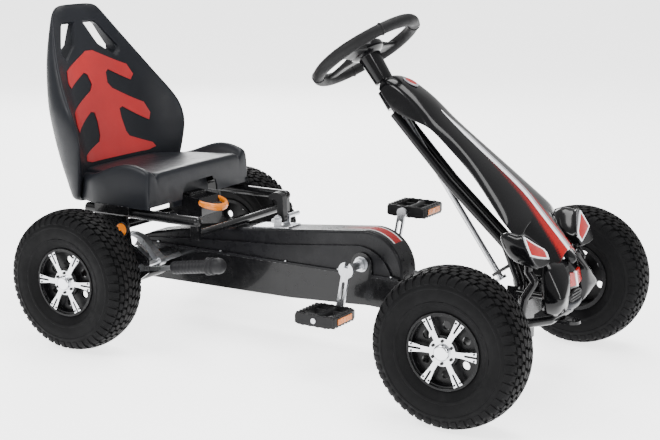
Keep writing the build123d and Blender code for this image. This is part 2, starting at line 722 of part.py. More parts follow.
with BuildPart() as strut_frame:
    for side in (-1, 1):
        with BuildLine() as route:
            FilletPolyline((204, side * STRUT_Y, 515), (327, side * STRUT_Y, 389),
                           (458, side * STRUT_Y, 274), (FRONT_AXLE_X, side * STRUT_Y, 204),
                           (FRONT_AXLE_X, side * STRUT_Y, 168), radius=30)
        with BuildSketch(Plane(origin=route.line @ 0, z_dir=route.line % 0)):
            Circle(STRUT_RADIUS)
        sweep(path=route.line)
    with BuildSketch(column_plane(HEAD_START - 6)):
        Circle(HEAD_RADIUS)
    extrude(amount=HEAD_END - HEAD_START + 6)
    with BuildSketch(column_plane(LOWER_BUSH)):
        Circle(13)
        with Locations((22, 0)):
            Rectangle(44, 40)
    extrude(amount=6)
    with BuildSketch(column_plane(HEAD_START - 20)):
        Circle(HEAD_BORE)
    extrude(amount=HEAD_END - HEAD_START + 20, mode=Mode.SUBTRACT)
    with BuildSketch(column_plane(HEAD_END - 1)):
        Circle(HEAD_BORE - 5)
    extrude(amount=40, mode=Mode.SUBTRACT)
    with BuildSketch(column_plane(LOWER_BUSH - 1)):
        Circle(COLUMN_RADIUS + RUNNING_GAP)
    extrude(amount=10, mode=Mode.SUBTRACT)
finish_piece(strut_frame, "strut_frame")

with BuildPart() as steering_bushes:
    for start in (HEAD_START - 6, HEAD_END - 20):
        with BuildSketch(column_plane(start)):
            Circle(HEAD_BORE)
            Circle(10 + RUNNING_GAP, mode=Mode.SUBTRACT)
        extrude(amount=14)
finish_piece(steering_bushes, "steering_bushes")

with BuildPart() as head_shroud:
    with BuildSketch(column_plane(HEAD_START)):
        Circle(24)
        Circle(HEAD_RADIUS, mode=Mode.SUBTRACT)
    extrude(amount=40)
finish_piece(head_shroud, "head_shroud")

# ---------------------------------------------------------------- steering
with BuildPart() as steering_column:
    with BuildSketch(column_plane(12)):
        Circle(10)
    extrude(amount=HEAD_END - 4 - 12)
    with BuildSketch(column_plane(HEAD_END - 4)):
        Circle(COLUMN_RADIUS)
    extrude(amount=COLUMN_LENGTH - HEAD_END + 4)
    # Arm square to the column; its pin drops into the fork on the track rod.
    with BuildSketch(column_plane(COLUMN_LENGTH - 6)):
        Circle(11)
        with Locations((-STEERING_ARM / 2, 0)):
            Rectangle(STEERING_ARM, 12)
        with Locations((-STEERING_ARM, 0)):
            Circle(8)
    extrude(amount=6)
    pin_plane = column_plane(COLUMN_LENGTH)
    with BuildSketch(Plane(
        origin=pin_plane.from_local_coords((-STEERING_ARM, 0, 0)), z_dir=COLUMN_DOWN,
    )):
        Circle(3.5)
    extrude(amount=22)
    with Locations(pin_plane.from_local_coords((-STEERING_ARM, 0, 22))):
        Sphere(6)
finish_piece(steering_column, "steering_column")

with BuildPart() as steering_rim:
    with BuildSketch(Plane(
        origin=WHEEL_CENTRE, x_dir=(0, 1, 0), z_dir=column_plane(0).x_dir,
    )):
        with Locations((STEERING_RIM_RADIUS, 0)):
            Circle(STEERING_TUBE_RADIUS)
    revolve(axis=Axis(WHEEL_CENTRE, COLUMN_DOWN))
finish_piece(steering_rim, "steering_rim")

with BuildPart() as steering_pad:
    with BuildSketch(column_plane(-6)):
        Circle(36)
    extrude(amount=18)
    with BuildSketch(column_plane(12)):
        Circle(24)
        Circle(10, mode=Mode.SUBTRACT)
    extrude(amount=36)
    with BuildSketch(column_plane(-4)):
        for angle in (90, 180, 270):
            with PolarLocations(66, 1, start_angle=angle):
                Rectangle(70, 30)
        Circle(STEERING_RIM_RADIUS - STEERING_TUBE_RADIUS, mode=Mode.INTERSECT)
    extrude(amount=8)
finish_piece(steering_pad, "steering_pad")


def make_knuckle(node, side):
    """Sleeve on the kingpin, stub axle outboard and steering arm to the rear."""
    sleeve_bottom, sleeve_top = 130.3, 169.7
    stub_end = FRONT_TRACK + STUB_REACH
    with BuildPart() as knuckle:
        with BuildSketch(Plane((FRONT_AXLE_X, side * KINGPIN_Y, sleeve_bottom))):
            Circle(13)
        extrude(amount=sleeve_top - sleeve_bottom)
        with BuildSketch(across_plane(FRONT_AXLE_X, side * KINGPIN_Y, AXLE_Z, side)):
            Circle(AXLE_RADIUS)
        extrude(amount=stub_end - KINGPIN_Y)
        with BuildSketch(across_plane(FRONT_AXLE_X, side * KINGPIN_Y, AXLE_Z, side)):
            Circle(12)
        extrude(amount=FRONT_TRACK - 30 - KINGPIN_Y - 0.3)
        with BuildSketch(Plane((FRONT_AXLE_X, side * KINGPIN_Y, 136))):
            with Locations((-STEERING_ARM / 2, 0)):
                Rectangle(STEERING_ARM, 15)
            with Locations((-STEERING_ARM, 0)):
                Circle(10)
        extrude(amount=8)
        with BuildSketch(Plane((FRONT_AXLE_X - STEERING_ARM, side * KINGPIN_Y, 117))):
            Circle(5)
        extrude(amount=20)
        with BuildSketch(Plane((FRONT_AXLE_X, side * KINGPIN_Y, 120))):
            Circle(KINGPIN_RADIUS + RUNNING_GAP)
        extrude(amount=60, mode=Mode.SUBTRACT)
    finish_piece(knuckle, node)


make_knuckle("knuckle_right", -1)
make_knuckle("knuckle_left", 1)

ROD_X = FRONT_AXLE_X - STEERING_ARM
ROD_Z = 127.0
ROD_RADIUS = 5.0
FORK_GAP = 6.3

with BuildPart() as track_rod:
    with BuildSketch(side_plane(0)):
        with Locations((ROD_X, ROD_Z)):
            Circle(ROD_RADIUS)
    extrude(amount=KINGPIN_Y - 8, both=True)
    for side, clearance in ((-1, RUNNING_GAP), (1, 0.3)):
        with BuildSketch(Plane((ROD_X, side * KINGPIN_Y, ROD_Z))):
            Circle(11)
        extrude(amount=6, both=True)
        with BuildSketch(Plane((ROD_X, side * KINGPIN_Y, ROD_Z))):
            Circle(5 + clearance)
        extrude(amount=7, both=True, mode=Mode.SUBTRACT)
    # Upright fork that the pin of the steering column slides in.
    with BuildSketch(Plane((413, 0, 131))):
        Rectangle(24, 2 * FORK_GAP + 8)
        with Locations((10, 0)):
            Rectangle(16, 2 * FORK_GAP + 8)
    extrude(amount=6)
    for side in (-1, 1):
        with BuildSketch(Plane((412, side * (FORK_GAP + 2), 131))):
            Rectangle(22, 4)
        extrude(amount=25)
finish_piece(track_rod, "track_rod")

# ---------------------------------------------------------------- nose and bumper
BUMPER_RADIUS = 9.0
SIDE_BAR_RADIUS = 8.0
TOW_EYE_X = 594.0

with BuildPart() as bumper:
    with BuildLine() as hoop:
        FilletPolyline((507.2, -112, 152), (545, -112, 152), (570, -50, 148), (570, 50, 148),
                       (545, 112, 152), (507.2, 112, 152), radius=20)
    with BuildSketch(Plane(origin=hoop.line @ 0, z_dir=hoop.line % 0)):
        Circle(BUMPER_RADIUS)
    sweep(path=hoop.line)
    for side in (-1, 1):
        with BuildLine() as side_bar:
            FilletPolyline((536, side * 116, 152), (545, side * 120, 204),
                           (565, side * 120, 238), (551, side * 120, 256),
                           (551, side * 120, 268.5), radius=7)
        with BuildSketch(Plane(origin=side_bar.line @ 0, z_dir=side_bar.line % 0)):
            Circle(SIDE_BAR_RADIUS)
        sweep(path=side_bar.line)
    # Towing eye: a flat plate with one upright hole.
    with BuildSketch(Plane((TOW_EYE_X, 0, 134))):
        Circle(18)
        with Locations((-15, 0)):
            Rectangle(30, 36)
        Circle(10, mode=Mode.SUBTRACT)
    extrude(amount=6)
finish_piece(bumper, "bumper")

# Stations of the fairing: x, ridge z, ridge half width, shoulder y and z, edge y and z.
FAIRING_STATIONS = [
    (184, 588, 20, 36, 582, 40, 566),
    (210, 587, 24, 42, 576, 46, 530),
    (245, 570, 24, 46, 558, 50, 516),
    (278, 548, 18, 50, 532, 54, 508),
    (306, 521, 9, 54, 508, 56, 500),
    (347, 490, 9, 54, 475, 56, 467),
    (395, 453, 9, 64, 438, 66, 430),
    (440, 419, 9, 82, 399, 84, 391),
    (479, 388, 9, 100, 363, 102, 355),
    (499, 369, 9, 110, 345, 112, 337),
]
LOWER_STATIONS = [
    (499, 369, 9, 66, 352, 78, 337),
    (546, 319, 9, 62, 302, 74, 262),
    (587, 275, 9, 40, 262, 50, 236),
]
SKIN = 4.0


def fairing_outline(ridge, half, shoulder_y, shoulder_z, edge_y, edge_z):
    """Corner points of one open cross-section of the fairing's skin."""
    outer = [(half, ridge), (shoulder_y, shoulder_z), (edge_y, edge_z)]
    inner = [(edge_y - SKIN, edge_z), (shoulder_y - SKIN, shoulder_z - SKIN), (half, ridge - SKIN)]
    right = outer + inner
    left = [(-y, z) for y, z in reversed(right)]
    return right + left


with BuildPart() as fairing:
    for stations in (FAIRING_STATIONS, LOWER_STATIONS):
        for x, *section in stations:
            with BuildSketch(Plane(origin=(x, 0, 0), x_dir=(0, 1, 0), z_dir=(1, 0, 0))):
                Polygon(*fairing_outline(*section), align=None)
        loft(ruled=True)
finish_piece(fairing, "fairing")

NOSE_CENTRE = [(562, 165), (583, 163), (600, 184), (603, 214), (590, 232), (562, 232)]
NOSE_WING = [(562, 165), (600, 160), (617, 183), (619, 212), (600, 232), (562, 232)]

with BuildPart() as nose:
    with BuildSketch(side_plane(0)):
        Polygon(*NOSE_CENTRE, align=None)
    extrude(amount=42, both=True)
    for side in (-1, 1):
        with BuildSketch(side_plane(side * 68)):
            Polygon(*NOSE_WING, align=None)
        extrude(amount=26, both=True)
    with BuildSketch(side_plane(0)):
        Polygon((561, 168), (583, 168), (596, 186), (599, 213), (588, 229), (561, 229),
                align=None)
    extrude(amount=91, both=True, mode=Mode.SUBTRACT)
    with BuildSketch(Plane(origin=(590, 0, 196), x_dir=(0, 1, 0), z_dir=(1, 0, 0))):
        Ellipse(30, 14)
    extrude(amount=40, mode=Mode.SUBTRACT)
finish_piece(nose, "nose")

with BuildPart() as nose_grille:
    with BuildSketch(Plane(origin=(589, 0, 196), x_dir=(0, 1, 0), z_dir=(1, 0, 0))):
        Ellipse(29.7, 13.7)
    extrude(amount=6)
finish_piece(nose_grille, "nose_grille")

# The lens of each headlight lies in a plane that leans back by this angle.
LENS_LEAN = 29.5
POD_FACE = [(12, 38), (27, 34), (31, -8), (20, -36), (-36, -36), (-39, -26), (-5, 12)]
LENS_FACE = [(19, 28), (26, -6), (-33, -24)]


def lens_plane(side):
    """Face of one headlight: sketch x is outboard, sketch y runs along its slope."""
    lean = radians(LENS_LEAN)
    return Plane(
        origin=(563, side * 121, 300),
        x_dir=(0, side, 0),
        z_dir=(cos(lean), 0, sin(lean)),
    )


with BuildPart() as headlight_pods:
    for side in (-1, 1):
        with BuildSketch(lens_plane(side)):
            Polygon(*[(x, side * y) for x, y in POD_FACE], align=None)
        extrude(amount=58, dir=(-1, 0, 0))
        with BuildSketch(lens_plane(side)):
            Polygon(*[(x, side * y) for x, y in LENS_FACE], align=None)
        extrude(amount=-4, mode=Mode.SUBTRACT)
finish_piece(headlight_pods, "headlight_pods")

with BuildPart() as headlight_lenses:
    for side in (-1, 1):
        with BuildSketch(lens_plane(side)):
            Polygon(*[(x, side * y) for x, y in LENS_FACE], align=None)
        extrude(amount=-4)
finish_piece(headlight_lenses, "headlight_lenses")

# ---------------------------------------------------------------- seat
# Stations of the backrest: z, half width, rim x, panel x, back x.
BACKREST_STATIONS = [
    (300, 178, -500, -524, -556),
    (358, 188, -488, -527, -572),
    (422, 195, -478, -540, -590),
    (505, 172, -532, -569, -612),
    (589, 134, -588, -600, -634),
    (655, 96, -626, -628, -645),
    (687, 66, -636, -637, -646),
]

with BuildPart() as seat:
    for z, half, rim_x, panel_x, back_x in BACKREST_STATIONS:
        with BuildSketch(Plane.XY.offset(z)):
            with BuildLine():
                Line((rim_x, -half - 4), (rim_x, -half + 8))
                Spline((rim_x, -half + 8), (panel_x, -half * 0.62), (panel_x, 0),
                       (panel_x, half * 0.62), (rim_x, half - 8))
                Line((rim_x, half - 8), (rim_x, half + 4))
                back_side = 0.75 * back_x + 0.25 * rim_x
                Spline((rim_x, half + 4), (back_side, half * 0.84), (back_x, 0),
                       (back_side, -half * 0.84), (rim_x, -half - 4))
            make_face()
    loft()
    # Hand slots through the upper backrest.
    with BuildSketch(Plane(origin=(-700, 0, 0), x_dir=(0, 1, 0), z_dir=(1, 0, 0))):
        for side in (-1, 1):
            Polygon(*[(side * y, z) for y, z in
                      ((22, 643), (52, 643), (88, 590), (76, 577), (42, 598))], align=None)
    extrude(amount=120, mode=Mode.SUBTRACT)
    # Cushion with its side bolsters, hollow underneath.
    with BuildSketch(side_plane(0)):
        Polygon((-540, 290), (-300, 290), (-292, 300), (-292, 352), (-300, 358), (-540, 350),
                align=None)
    extrude(amount=188, both=True)
    for side in (-1, 1):
        with BuildSketch(side_plane(side * 176)):
            with BuildLine():
                Polyline((-292, 352), (-292, 300), (-520, 300), (-520, 345), (-420, 350))
                ThreePointArc((-420, 350), (-350, 376), (-292, 352))
            make_face()
        extrude(amount=16, both=True)
    with BuildSketch(side_plane(0)):
        Polygon((-530, 280), (-300, 280), (-300, 345), (-308, 350), (-512, 342), (-512, 300),
                align=None)
    extrude(amount=180, both=True, mode=Mode.SUBTRACT)
    # Hand arch in the front edge.
    with BuildSketch(Plane(origin=(-310, 0, 0), x_dir=(0, 1, 0), z_dir=(1, 0, 0))):
        Polygon((-64, 280), (64, 280), (64, 300), (50, 328), (-50, 328), (-64, 300), align=None)
    extrude(amount=30, mode=Mode.SUBTRACT)
finish_piece(seat, "seat")

with BuildPart() as seat_mount:
    for side in (-1, 1):
        with BuildSketch(Plane(
            origin=(-436, side * RAIL_Y, RAIL_Z), x_dir=(0, 1, 0), z_dir=(1, 0, 0),
        )):
            with Locations((0, 6.5)):
                Rectangle(36, 19)
            Circle(RAIL_RADIUS + SLIDE_GAP, mode=Mode.SUBTRACT)
        extrude(amount=92)
    with BuildSketch(Plane((-392, 0, 292))):
        Rectangle(84, 2 * RAIL_Y)
    extrude(amount=6)
    with BuildSketch(Plane((-392, 0, 262))):
        with Locations((68, 0)):
            Rectangle(52, 60)
    extrude(amount=36)
    with BuildSketch(side_plane(0)):
        Polygon((-352, 262), (-352, 298), (-270, 290), (-262, 276), (-262, 252), (-280, 244),
                (-320, 244), align=None)
    extrude(amount=36, both=True)
finish_piece(seat_mount, "seat_mount")

with BuildPart() as seat_handle:
    with BuildLine() as handle_route:
        FilletPolyline((-284, -42, 280), (-250, -42, 276), (-232, -14, 270), (-232, 14, 270),
                       (-250, 42, 276), (-284, 42, 280), radius=14)
    with BuildSketch(Plane(origin=handle_route.line @ 0, z_dir=handle_route.line % 0)):
        Circle(4.5)
    sweep(path=handle_route.line)
    for side in (-1, 1):
        with BuildSketch(side_plane(side * 42)):
            with Locations((-284, 280)):
                Circle(6)
        extrude(amount=4, both=True)
finish_piece(seat_handle, "seat_handle")
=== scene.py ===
import bpy
import bmesh
import math
from mathutils import Matrix, Vector
from mathutils.bvhtree import BVHTree


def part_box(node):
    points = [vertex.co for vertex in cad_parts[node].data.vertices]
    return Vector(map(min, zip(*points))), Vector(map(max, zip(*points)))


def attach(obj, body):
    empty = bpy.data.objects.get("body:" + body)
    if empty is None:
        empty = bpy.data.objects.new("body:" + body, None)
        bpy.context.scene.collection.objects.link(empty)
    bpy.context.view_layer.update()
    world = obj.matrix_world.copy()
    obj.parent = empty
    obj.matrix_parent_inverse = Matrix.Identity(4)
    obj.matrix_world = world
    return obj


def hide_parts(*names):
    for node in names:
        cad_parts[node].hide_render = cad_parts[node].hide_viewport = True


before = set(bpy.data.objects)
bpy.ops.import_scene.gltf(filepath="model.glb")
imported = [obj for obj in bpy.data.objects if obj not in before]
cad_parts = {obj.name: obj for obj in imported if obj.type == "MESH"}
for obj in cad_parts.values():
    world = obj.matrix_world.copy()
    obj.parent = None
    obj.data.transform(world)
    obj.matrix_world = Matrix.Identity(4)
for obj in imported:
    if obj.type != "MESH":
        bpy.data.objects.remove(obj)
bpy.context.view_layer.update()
MM = 0.001


# ---------------------------------------------------------------- materials
class Shader:
    """A procedural material: a Principled shader and short calls that add nodes to it."""

    def __init__(self, name):
        self.material = bpy.data.materials.new(name)
        self.material.use_nodes = True
        self.tree = self.material.node_tree
        self.bsdf = self.tree.nodes["Principled BSDF"]
        self.coords = self.add("ShaderNodeTexCoord").outputs["Object"]

    def add(self, kind, inputs=None, **settings):
        node = self.tree.nodes.new(kind)
        for key, value in settings.items():
            setattr(node, key, value)
        for key, value in (inputs or {}).items():
            self.put(value, node.inputs[key])
        return node

    def put(self, value, socket):
        if isinstance(value, bpy.types.NodeSocket):
            self.tree.links.new(value, socket)
        else:
            socket.default_value = value

    def math(self, operation, a, b=0.0, c=0.0, clamp=False):
        node = self.add("ShaderNodeMath", {0: a, 1: b, 2: c}, operation=operation, use_clamp=clamp)
        return node.outputs[0]

    def noise(self, scale, detail=4.0, roughness=0.55, stretch=None):
        where = self.coords
        if stretch:
            where = self.add("ShaderNodeMapping", {"Vector": self.coords, "Scale": stretch}).outputs[0]
        node = self.add("ShaderNodeTexNoise", {
            "Vector": where, "Scale": scale, "Detail": detail, "Roughness": roughness})
        return node.outputs["Fac"]

    def spread(self, value, low, high, to_low=0.0, to_high=1.0):
        node = self.add("ShaderNodeMapRange", {
            "Value": value, "From Min": low, "From Max": high, "To Min": to_low, "To Max": to_high})
        return node.outputs[0]

    def mix(self, factor, a, b):
        node = self.add("ShaderNodeMix", data_type="RGBA")
        self.put(factor, node.inputs[0])
        self.put(colour(a), node.inputs[6])
        self.put(colour(b), node.inputs[7])
        return node.outputs[2]

    def axes(self):
        node = self.add("ShaderNodeSeparateXYZ", {0: self.coords})
        return node.outputs[0], node.outputs[1], node.outputs[2]

    def edges(self, radius):
        """1 along outside and inside edges, 0 on flat faces."""
        bevel = self.add("ShaderNodeBevel", {"Radius": radius}, samples=4)
        normal = self.add("ShaderNodeNewGeometry").outputs["Normal"]
        dot = self.add("ShaderNodeVectorMath", {0: bevel.outputs[0], 1: normal},
                       operation="DOT_PRODUCT")
        return self.spread(dot.outputs["Value"], 0.995, 0.9)

    def upward(self):
        normal = self.add("ShaderNodeNewGeometry").outputs["Normal"]
        return self.add("ShaderNodeSeparateXYZ", {0: normal}).outputs[2]

    def band(self, value, low, high, soft=0.0004):
        """1 between two values, with soft ends."""
        rise = self.spread(value, low - soft, low + soft)
        fall = self.spread(value, high - soft, high + soft, 1.0, 0.0)
        return self.math("MULTIPLY", rise, fall)


def colour(value):
    if isinstance(value, bpy.types.NodeSocket):
        return value
    return tuple(value)[:3] + (1.0,)


def tint(value, factor):
    return tuple(min(1.0, channel * factor) for channel in value)


def finish(name, base, rough, metal=0.0, grain=900.0, depth=0.00006, vary=0.18, spread=0.10,
           wear=None, dust=0.0, coat=0.0, stretch=None, paint=None, shine=None):
    """A moulded, painted or plated surface.

    grain and depth make the bump, vary the colour drift, spread the roughness drift, wear the
    colour that shows through on edges, dust the share of dust on upper faces. paint may lay
    printed colours over the base colour. shine is the specular level.
    """
    shader = Shader(name)
    if shine is None:
        shine = 0.5 if max(base) > 0.04 else 0.16
    drift = shader.spread(shader.noise(7.0), 0.32, 0.68)
    tone = shader.mix(drift, tint(base, 1 - vary), tint(base, 1 + vary))
    if paint:
        tone = paint(shader, tone)
    blotch = shader.noise(46.0, 6.0, 0.62, stretch)
    rough_value = shader.spread(blotch, 0.3, 0.7, rough - spread, rough + spread)
    if wear:
        chips = shader.spread(shader.noise(150.0, 3.0), 0.5, 0.62)
        worn = shader.math("MULTIPLY", shader.edges(0.0016), chips)
        worn = shader.math("MULTIPLY", worn, 0.55)
        tone = shader.mix(worn, tone, wear)
        rough_value = shader.math("MULTIPLY_ADD", worn, 0.2, rough_value)
    if dust:
        lie = shader.spread(shader.upward(), 0.35, 1.0)
        specks = shader.spread(shader.noise(260.0, 5.0, 0.7), 0.45, 0.75)
        veil = shader.math("MULTIPLY", lie, shader.math("MULTIPLY_ADD", specks, 0.7, 0.3))
        veil = shader.math("MULTIPLY", veil, dust)
        tone = shader.mix(veil, tone, (0.42, 0.4, 0.38))
        rough_value = shader.math("MULTIPLY_ADD", veil, 0.5, rough_value, clamp=True)
    shader.put(tone, shader.bsdf.inputs["Base Color"])
    shader.put(rough_value, shader.bsdf.inputs["Roughness"])
    shader.bsdf.inputs["Metallic"].default_value = metal
    shader.bsdf.inputs["Specular IOR Level"].default_value = shine
    shader.bsdf.inputs["Coat Weight"].default_value = coat
    shader.bsdf.inputs["Coat Roughness"].default_value = 0.06
    bump = shader.add("ShaderNodeBump", {
        "Height": shader.noise(grain, 3.0, 0.6, stretch), "Distance": depth, "Strength": 0.8})
    shader.put(bump.outputs[0], shader.bsdf.inputs["Normal"])
    return shader.material


def tyre_rubber():
    """Matt rubber: fine rings on the side wall, grey dust in the tread."""
    shader = Shader("tyre_rubber")
    x, y, z = shader.axes()
    radius = shader.math("SQRT", shader.math("ADD", shader.math("MULTIPLY", x, x),
                                             shader.math("MULTIPLY", z, z)))
    rings = shader.math("SINE", shader.math("MULTIPLY", radius, 2 * math.pi / 0.0022))
    side = shader.band(radius, 0.096, 0.116, 0.001)
    drift = shader.spread(shader.noise(16.0, 5.0), 0.3, 0.7)
    tone = shader.mix(drift, (0.003, 0.003, 0.0033), (0.006, 0.006, 0.0063))
    used = shader.math("MULTIPLY", shader.spread(radius, 0.1452, 0.1490),
                       shader.spread(shader.noise(90.0, 5.0), 0.35, 0.7))
    tone = shader.mix(used, tone, (0.013, 0.0125, 0.0125))
    shader.put(tone, shader.bsdf.inputs["Base Color"])
    shader.put(shader.spread(shader.noise(70.0, 5.0), 0.3, 0.7, 0.46, 0.68),
               shader.bsdf.inputs["Roughness"])
    shader.bsdf.inputs["Specular IOR Level"].default_value = 0.06
    height = shader.math("MULTIPLY_ADD", shader.math("MULTIPLY", rings, side), 0.35,
                         shader.noise(700.0, 4.0, 0.7))
    bump = shader.add("ShaderNodeBump", {"Height": height, "Distance": 0.00022, "Strength": 0.8})
    shader.put(bump.outputs[0], shader.bsdf.inputs["Normal"])
    return shader.material


def cover_print(shader, tone):
    """Red sticker with white edges over the front bend of the chain case."""
    x, y, z = shader.axes()
    across = shader.math("ABSOLUTE", y)
    along = shader.math("MULTIPLY", shader.spread(x, 0.075, 0.150),
                        shader.spread(x, 0.2095, 0.2105, 1.0, 0.0))
    high = shader.spread(z, 0.2300, 0.2310)
    fade = shader.math("MULTIPLY", along, high)
    red = shader.math("MULTIPLY", shader.band(across, -0.02, 0.0135), fade)
    edge = shader.math("MULTIPLY", shader.band(across, 0.0135, 0.0175), fade)
    tone = shader.mix(red, tone, (0.27, 0.006, 0.006))
    return shader.mix(edge, tone, (0.62, 0.60, 0.60))


def fairing_print(shader, tone):
    """Halftone red that grows towards the nose, on both flanks of the ridge."""
    x, y, z = shader.axes()
    across = shader.math("ABSOLUTE", y)
    down = shader.math("MULTIPLY_ADD", z, -0.72, shader.math("MULTIPLY", x, 0.69))
    step = 2 * math.pi / 0.0042
    dots = shader.math("MULTIPLY", shader.math("SINE", shader.math("MULTIPLY", down, step)),
                       shader.math("SINE", shader.math("MULTIPLY", across, step)))
    grow = shader.spread(x, 0.37, 0.58)
    reach = shader.math("MULTIPLY_ADD", grow, 0.026, 0.013)
    inside = shader.spread(shader.math("SUBTRACT", across, reach), -0.012, 0.002, 1.0, 0.0)
    strength = shader.math("MULTIPLY", inside, grow)
    size = shader.math("MULTIPLY_ADD", strength, -1.9, 1.15)
    mask = shader.math("MULTIPLY", shader.spread(shader.math("SUBTRACT", dots, size), -0.15, 0.15),
                       shader.spread(strength, 0.04, 0.2))
    mask = shader.math("MULTIPLY", mask, shader.spread(shader.upward(), 0.0, 0.1))
    return shader.mix(mask, tone, (0.30, 0.004, 0.004))


def lens_shader():
    shader = Shader("lens_red_glass")
    cells = shader.add("ShaderNodeTexVoronoi", {"Vector": shader.coords, "Scale": 260.0})
    tone = shader.mix(shader.spread(shader.noise(60.0), 0.3, 0.7), (0.26, 0.0, 0.0), (0.38, 0.002, 0.002))
    shader.put(tone, shader.bsdf.inputs["Base Color"])
    shader.put(shader.spread(shader.noise(120.0), 0.3, 0.7, 0.08, 0.18), shader.bsdf.inputs["Roughness"])
    shader.bsdf.inputs["Coat Weight"].default_value = 0.1
    bump = shader.add("ShaderNodeBump", {
        "Height": cells.outputs["Distance"], "Distance": 0.0004, "Strength": 0.5})
    shader.put(bump.outputs[0], shader.bsdf.inputs["Normal"])
    return shader.material


M = {
    "tyre": tyre_rubber(),
    "paint": finish("frame_paint", (0.004, 0.004, 0.0045), 0.22, grain=500.0, depth=0.00005,
                    wear=(0.16, 0.16, 0.16), dust=0.006, coat=0.2),
    "case": finish("case_plastic", (0.006, 0.006, 0.007), 0.30, grain=1500.0, depth=0.00005,
                   wear=(0.07, 0.07, 0.075), dust=0.008, paint=cover_print),
    "seat": finish("seat_plastic", (0.0064, 0.0072, 0.0094), 0.40, grain=1700.0, depth=0.00011,
                   wear=(0.04, 0.043, 0.05), dust=0.006, spread=0.07),
    "seat_red": finish("seat_red_plastic", (0.27, 0.003, 0.004), 0.40, grain=1500.0, depth=0.0001,
                       vary=0.14, dust=0.006),
    "fairing": finish("fairing_gloss", (0.003, 0.003, 0.0035), 0.15, grain=420.0, depth=0.00004,
                      wear=(0.06, 0.06, 0.065), dust=0.004, coat=0.12, spread=0.06, paint=fairing_print),
    "gloss": finish("gloss_black", (0.003, 0.003, 0.0035), 0.15, grain=420.0, depth=0.00004,
                    wear=(0.06, 0.06, 0.065), dust=0.004, coat=0.12, spread=0.06),
    "white": finish("stripe_white", (0.74, 0.75, 0.78), 0.25, grain=600.0, depth=0.00003, vary=0.04),
    "grey": finish("stripe_grey", (0.27, 0.27, 0.29), 0.28, grain=600.0, depth=0.00003, vary=0.08),
    "red": finish("panel_red", (0.30, 0.004, 0.004), 0.28, grain=600.0, depth=0.00003, vary=0.12),
    "chin": finish("chin_grey", (0.020, 0.021, 0.025), 0.26, grain=700.0, depth=0.00005, dust=0.008),
    "rim": finish("rim_black", (0.004, 0.004, 0.0045), 0.34, grain=1200.0, depth=0.00005,
                  wear=(0.09, 0.09, 0.09)),
    "alloy": finish("trim_alloy", (0.66, 0.67, 0.69), 0.27, metal=1.0, grain=1400.0, depth=0.00003,
                    vary=0.06, stretch=(1.0, 1.0, 12.0), wear=(0.85, 0.85, 0.86)),
    "chrome": finish("cap_chrome", (0.72, 0.73, 0.76), 0.09, metal=1.0, grain=500.0,
                     depth=0.00002, vary=0.04, spread=0.04),
    "zinc": finish("zinc_steel", (0.52, 0.53, 0.55), 0.33, metal=1.0, grain=1100.0, depth=0.00005,
                   vary=0.10, stretch=(10.0, 1.0, 1.0), wear=(0.7, 0.7, 0.7)),
    "plastic": finish("black_plastic", (0.006, 0.006, 0.0065), 0.42, grain=1600.0, depth=0.00010,
                      wear=(0.05, 0.05, 0.05), dust=0.008),
    "foam": finish("grip_foam", (0.006, 0.006, 0.0065), 0.58, grain=1100.0, depth=0.0003, vary=0.2),
    "rubber": finish("grip_rubber", (0.010, 0.010, 0.011), 0.5, grain=1300.0, depth=0.0002),
    "amber": finish("amber_plastic", (0.66, 0.17, 0.002), 0.28, grain=500.0, depth=0.0001,
                    vary=0.16, coat=0.05),
    "lens": lens_shader(),
}


# ---------------------------------------------------------------- mesh helpers
def place(name, verts, faces, body, material, bevel=0.0, smooth=True, subdivide=0, at=(0, 0, 0)):
    """Makes one piece from millimetre points, with its origin at a point also in millimetres."""
    mesh = bpy.data.meshes.new(name)
    mesh.from_pydata([Vector(v) * MM for v in verts], [], faces)
    shape = bmesh.new()
    shape.from_mesh(mesh)
    bmesh.ops.recalc_face_normals(shape, faces=shape.faces)
    for face in shape.faces:
        face.smooth = smooth
    if not subdivide:
        for edge in shape.edges:
            if len(edge.link_faces) == 2 and edge.calc_face_angle(0.0) > math.radians(32):
                edge.smooth = False
    shape.to_mesh(mesh)
    shape.free()
    piece = bpy.data.objects.new(name, mesh)
    bpy.context.scene.collection.objects.link(piece)
    piece.location = Vector(at) * MM
    mesh.materials.append(M[material])
    if subdivide:
        modifier = piece.modifiers.new("round", "SUBSURF")
        modifier.levels = modifier.render_levels = subdivide
    if bevel:
        add_bevel(piece, bevel)
    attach(piece, body)
    return piece


def add_bevel(piece, width_mm, segments=2):
    modifier = piece.modifiers.new("edge", "BEVEL")
    modifier.width = width_mm * MM
    modifier.segments = segments
    modifier.limit_method = "ANGLE"
    modifier.angle_limit = math.radians(35)
    modifier.harden_normals = True
    modifier.use_clamp_overlap = True


def apply_modifiers(piece):
    """Bakes a piece's modifiers into its mesh."""
    depsgraph = bpy.context.evaluated_depsgraph_get()
    mesh = bpy.data.meshes.new_from_object(piece.evaluated_get(depsgraph))
    piece.modifiers.clear()
    piece.data = mesh


def cut(piece, tools):
    """Cuts closed tool meshes, given as (verts, faces), out of a piece."""
    for verts, faces in tools:
        mesh = bpy.data.meshes.new("tool")
        mesh.from_pydata([Vector(v) * MM for v in verts], [], faces)
        shape = bmesh.new()
        shape.from_mesh(mesh)
        bmesh.ops.recalc_face_normals(shape, faces=shape.faces)
        shape.to_mesh(mesh)
        shape.free()
        tool = bpy.data.objects.new("tool", mesh)
        bpy.context.scene.collection.objects.link(tool)
        modifier = piece.modifiers.new("cut", "BOOLEAN")
        modifier.object = tool
        modifier.solver = "EXACT"
        bpy.context.view_layer.update()
        apply_modifiers(piece)
        bpy.data.objects.remove(tool)


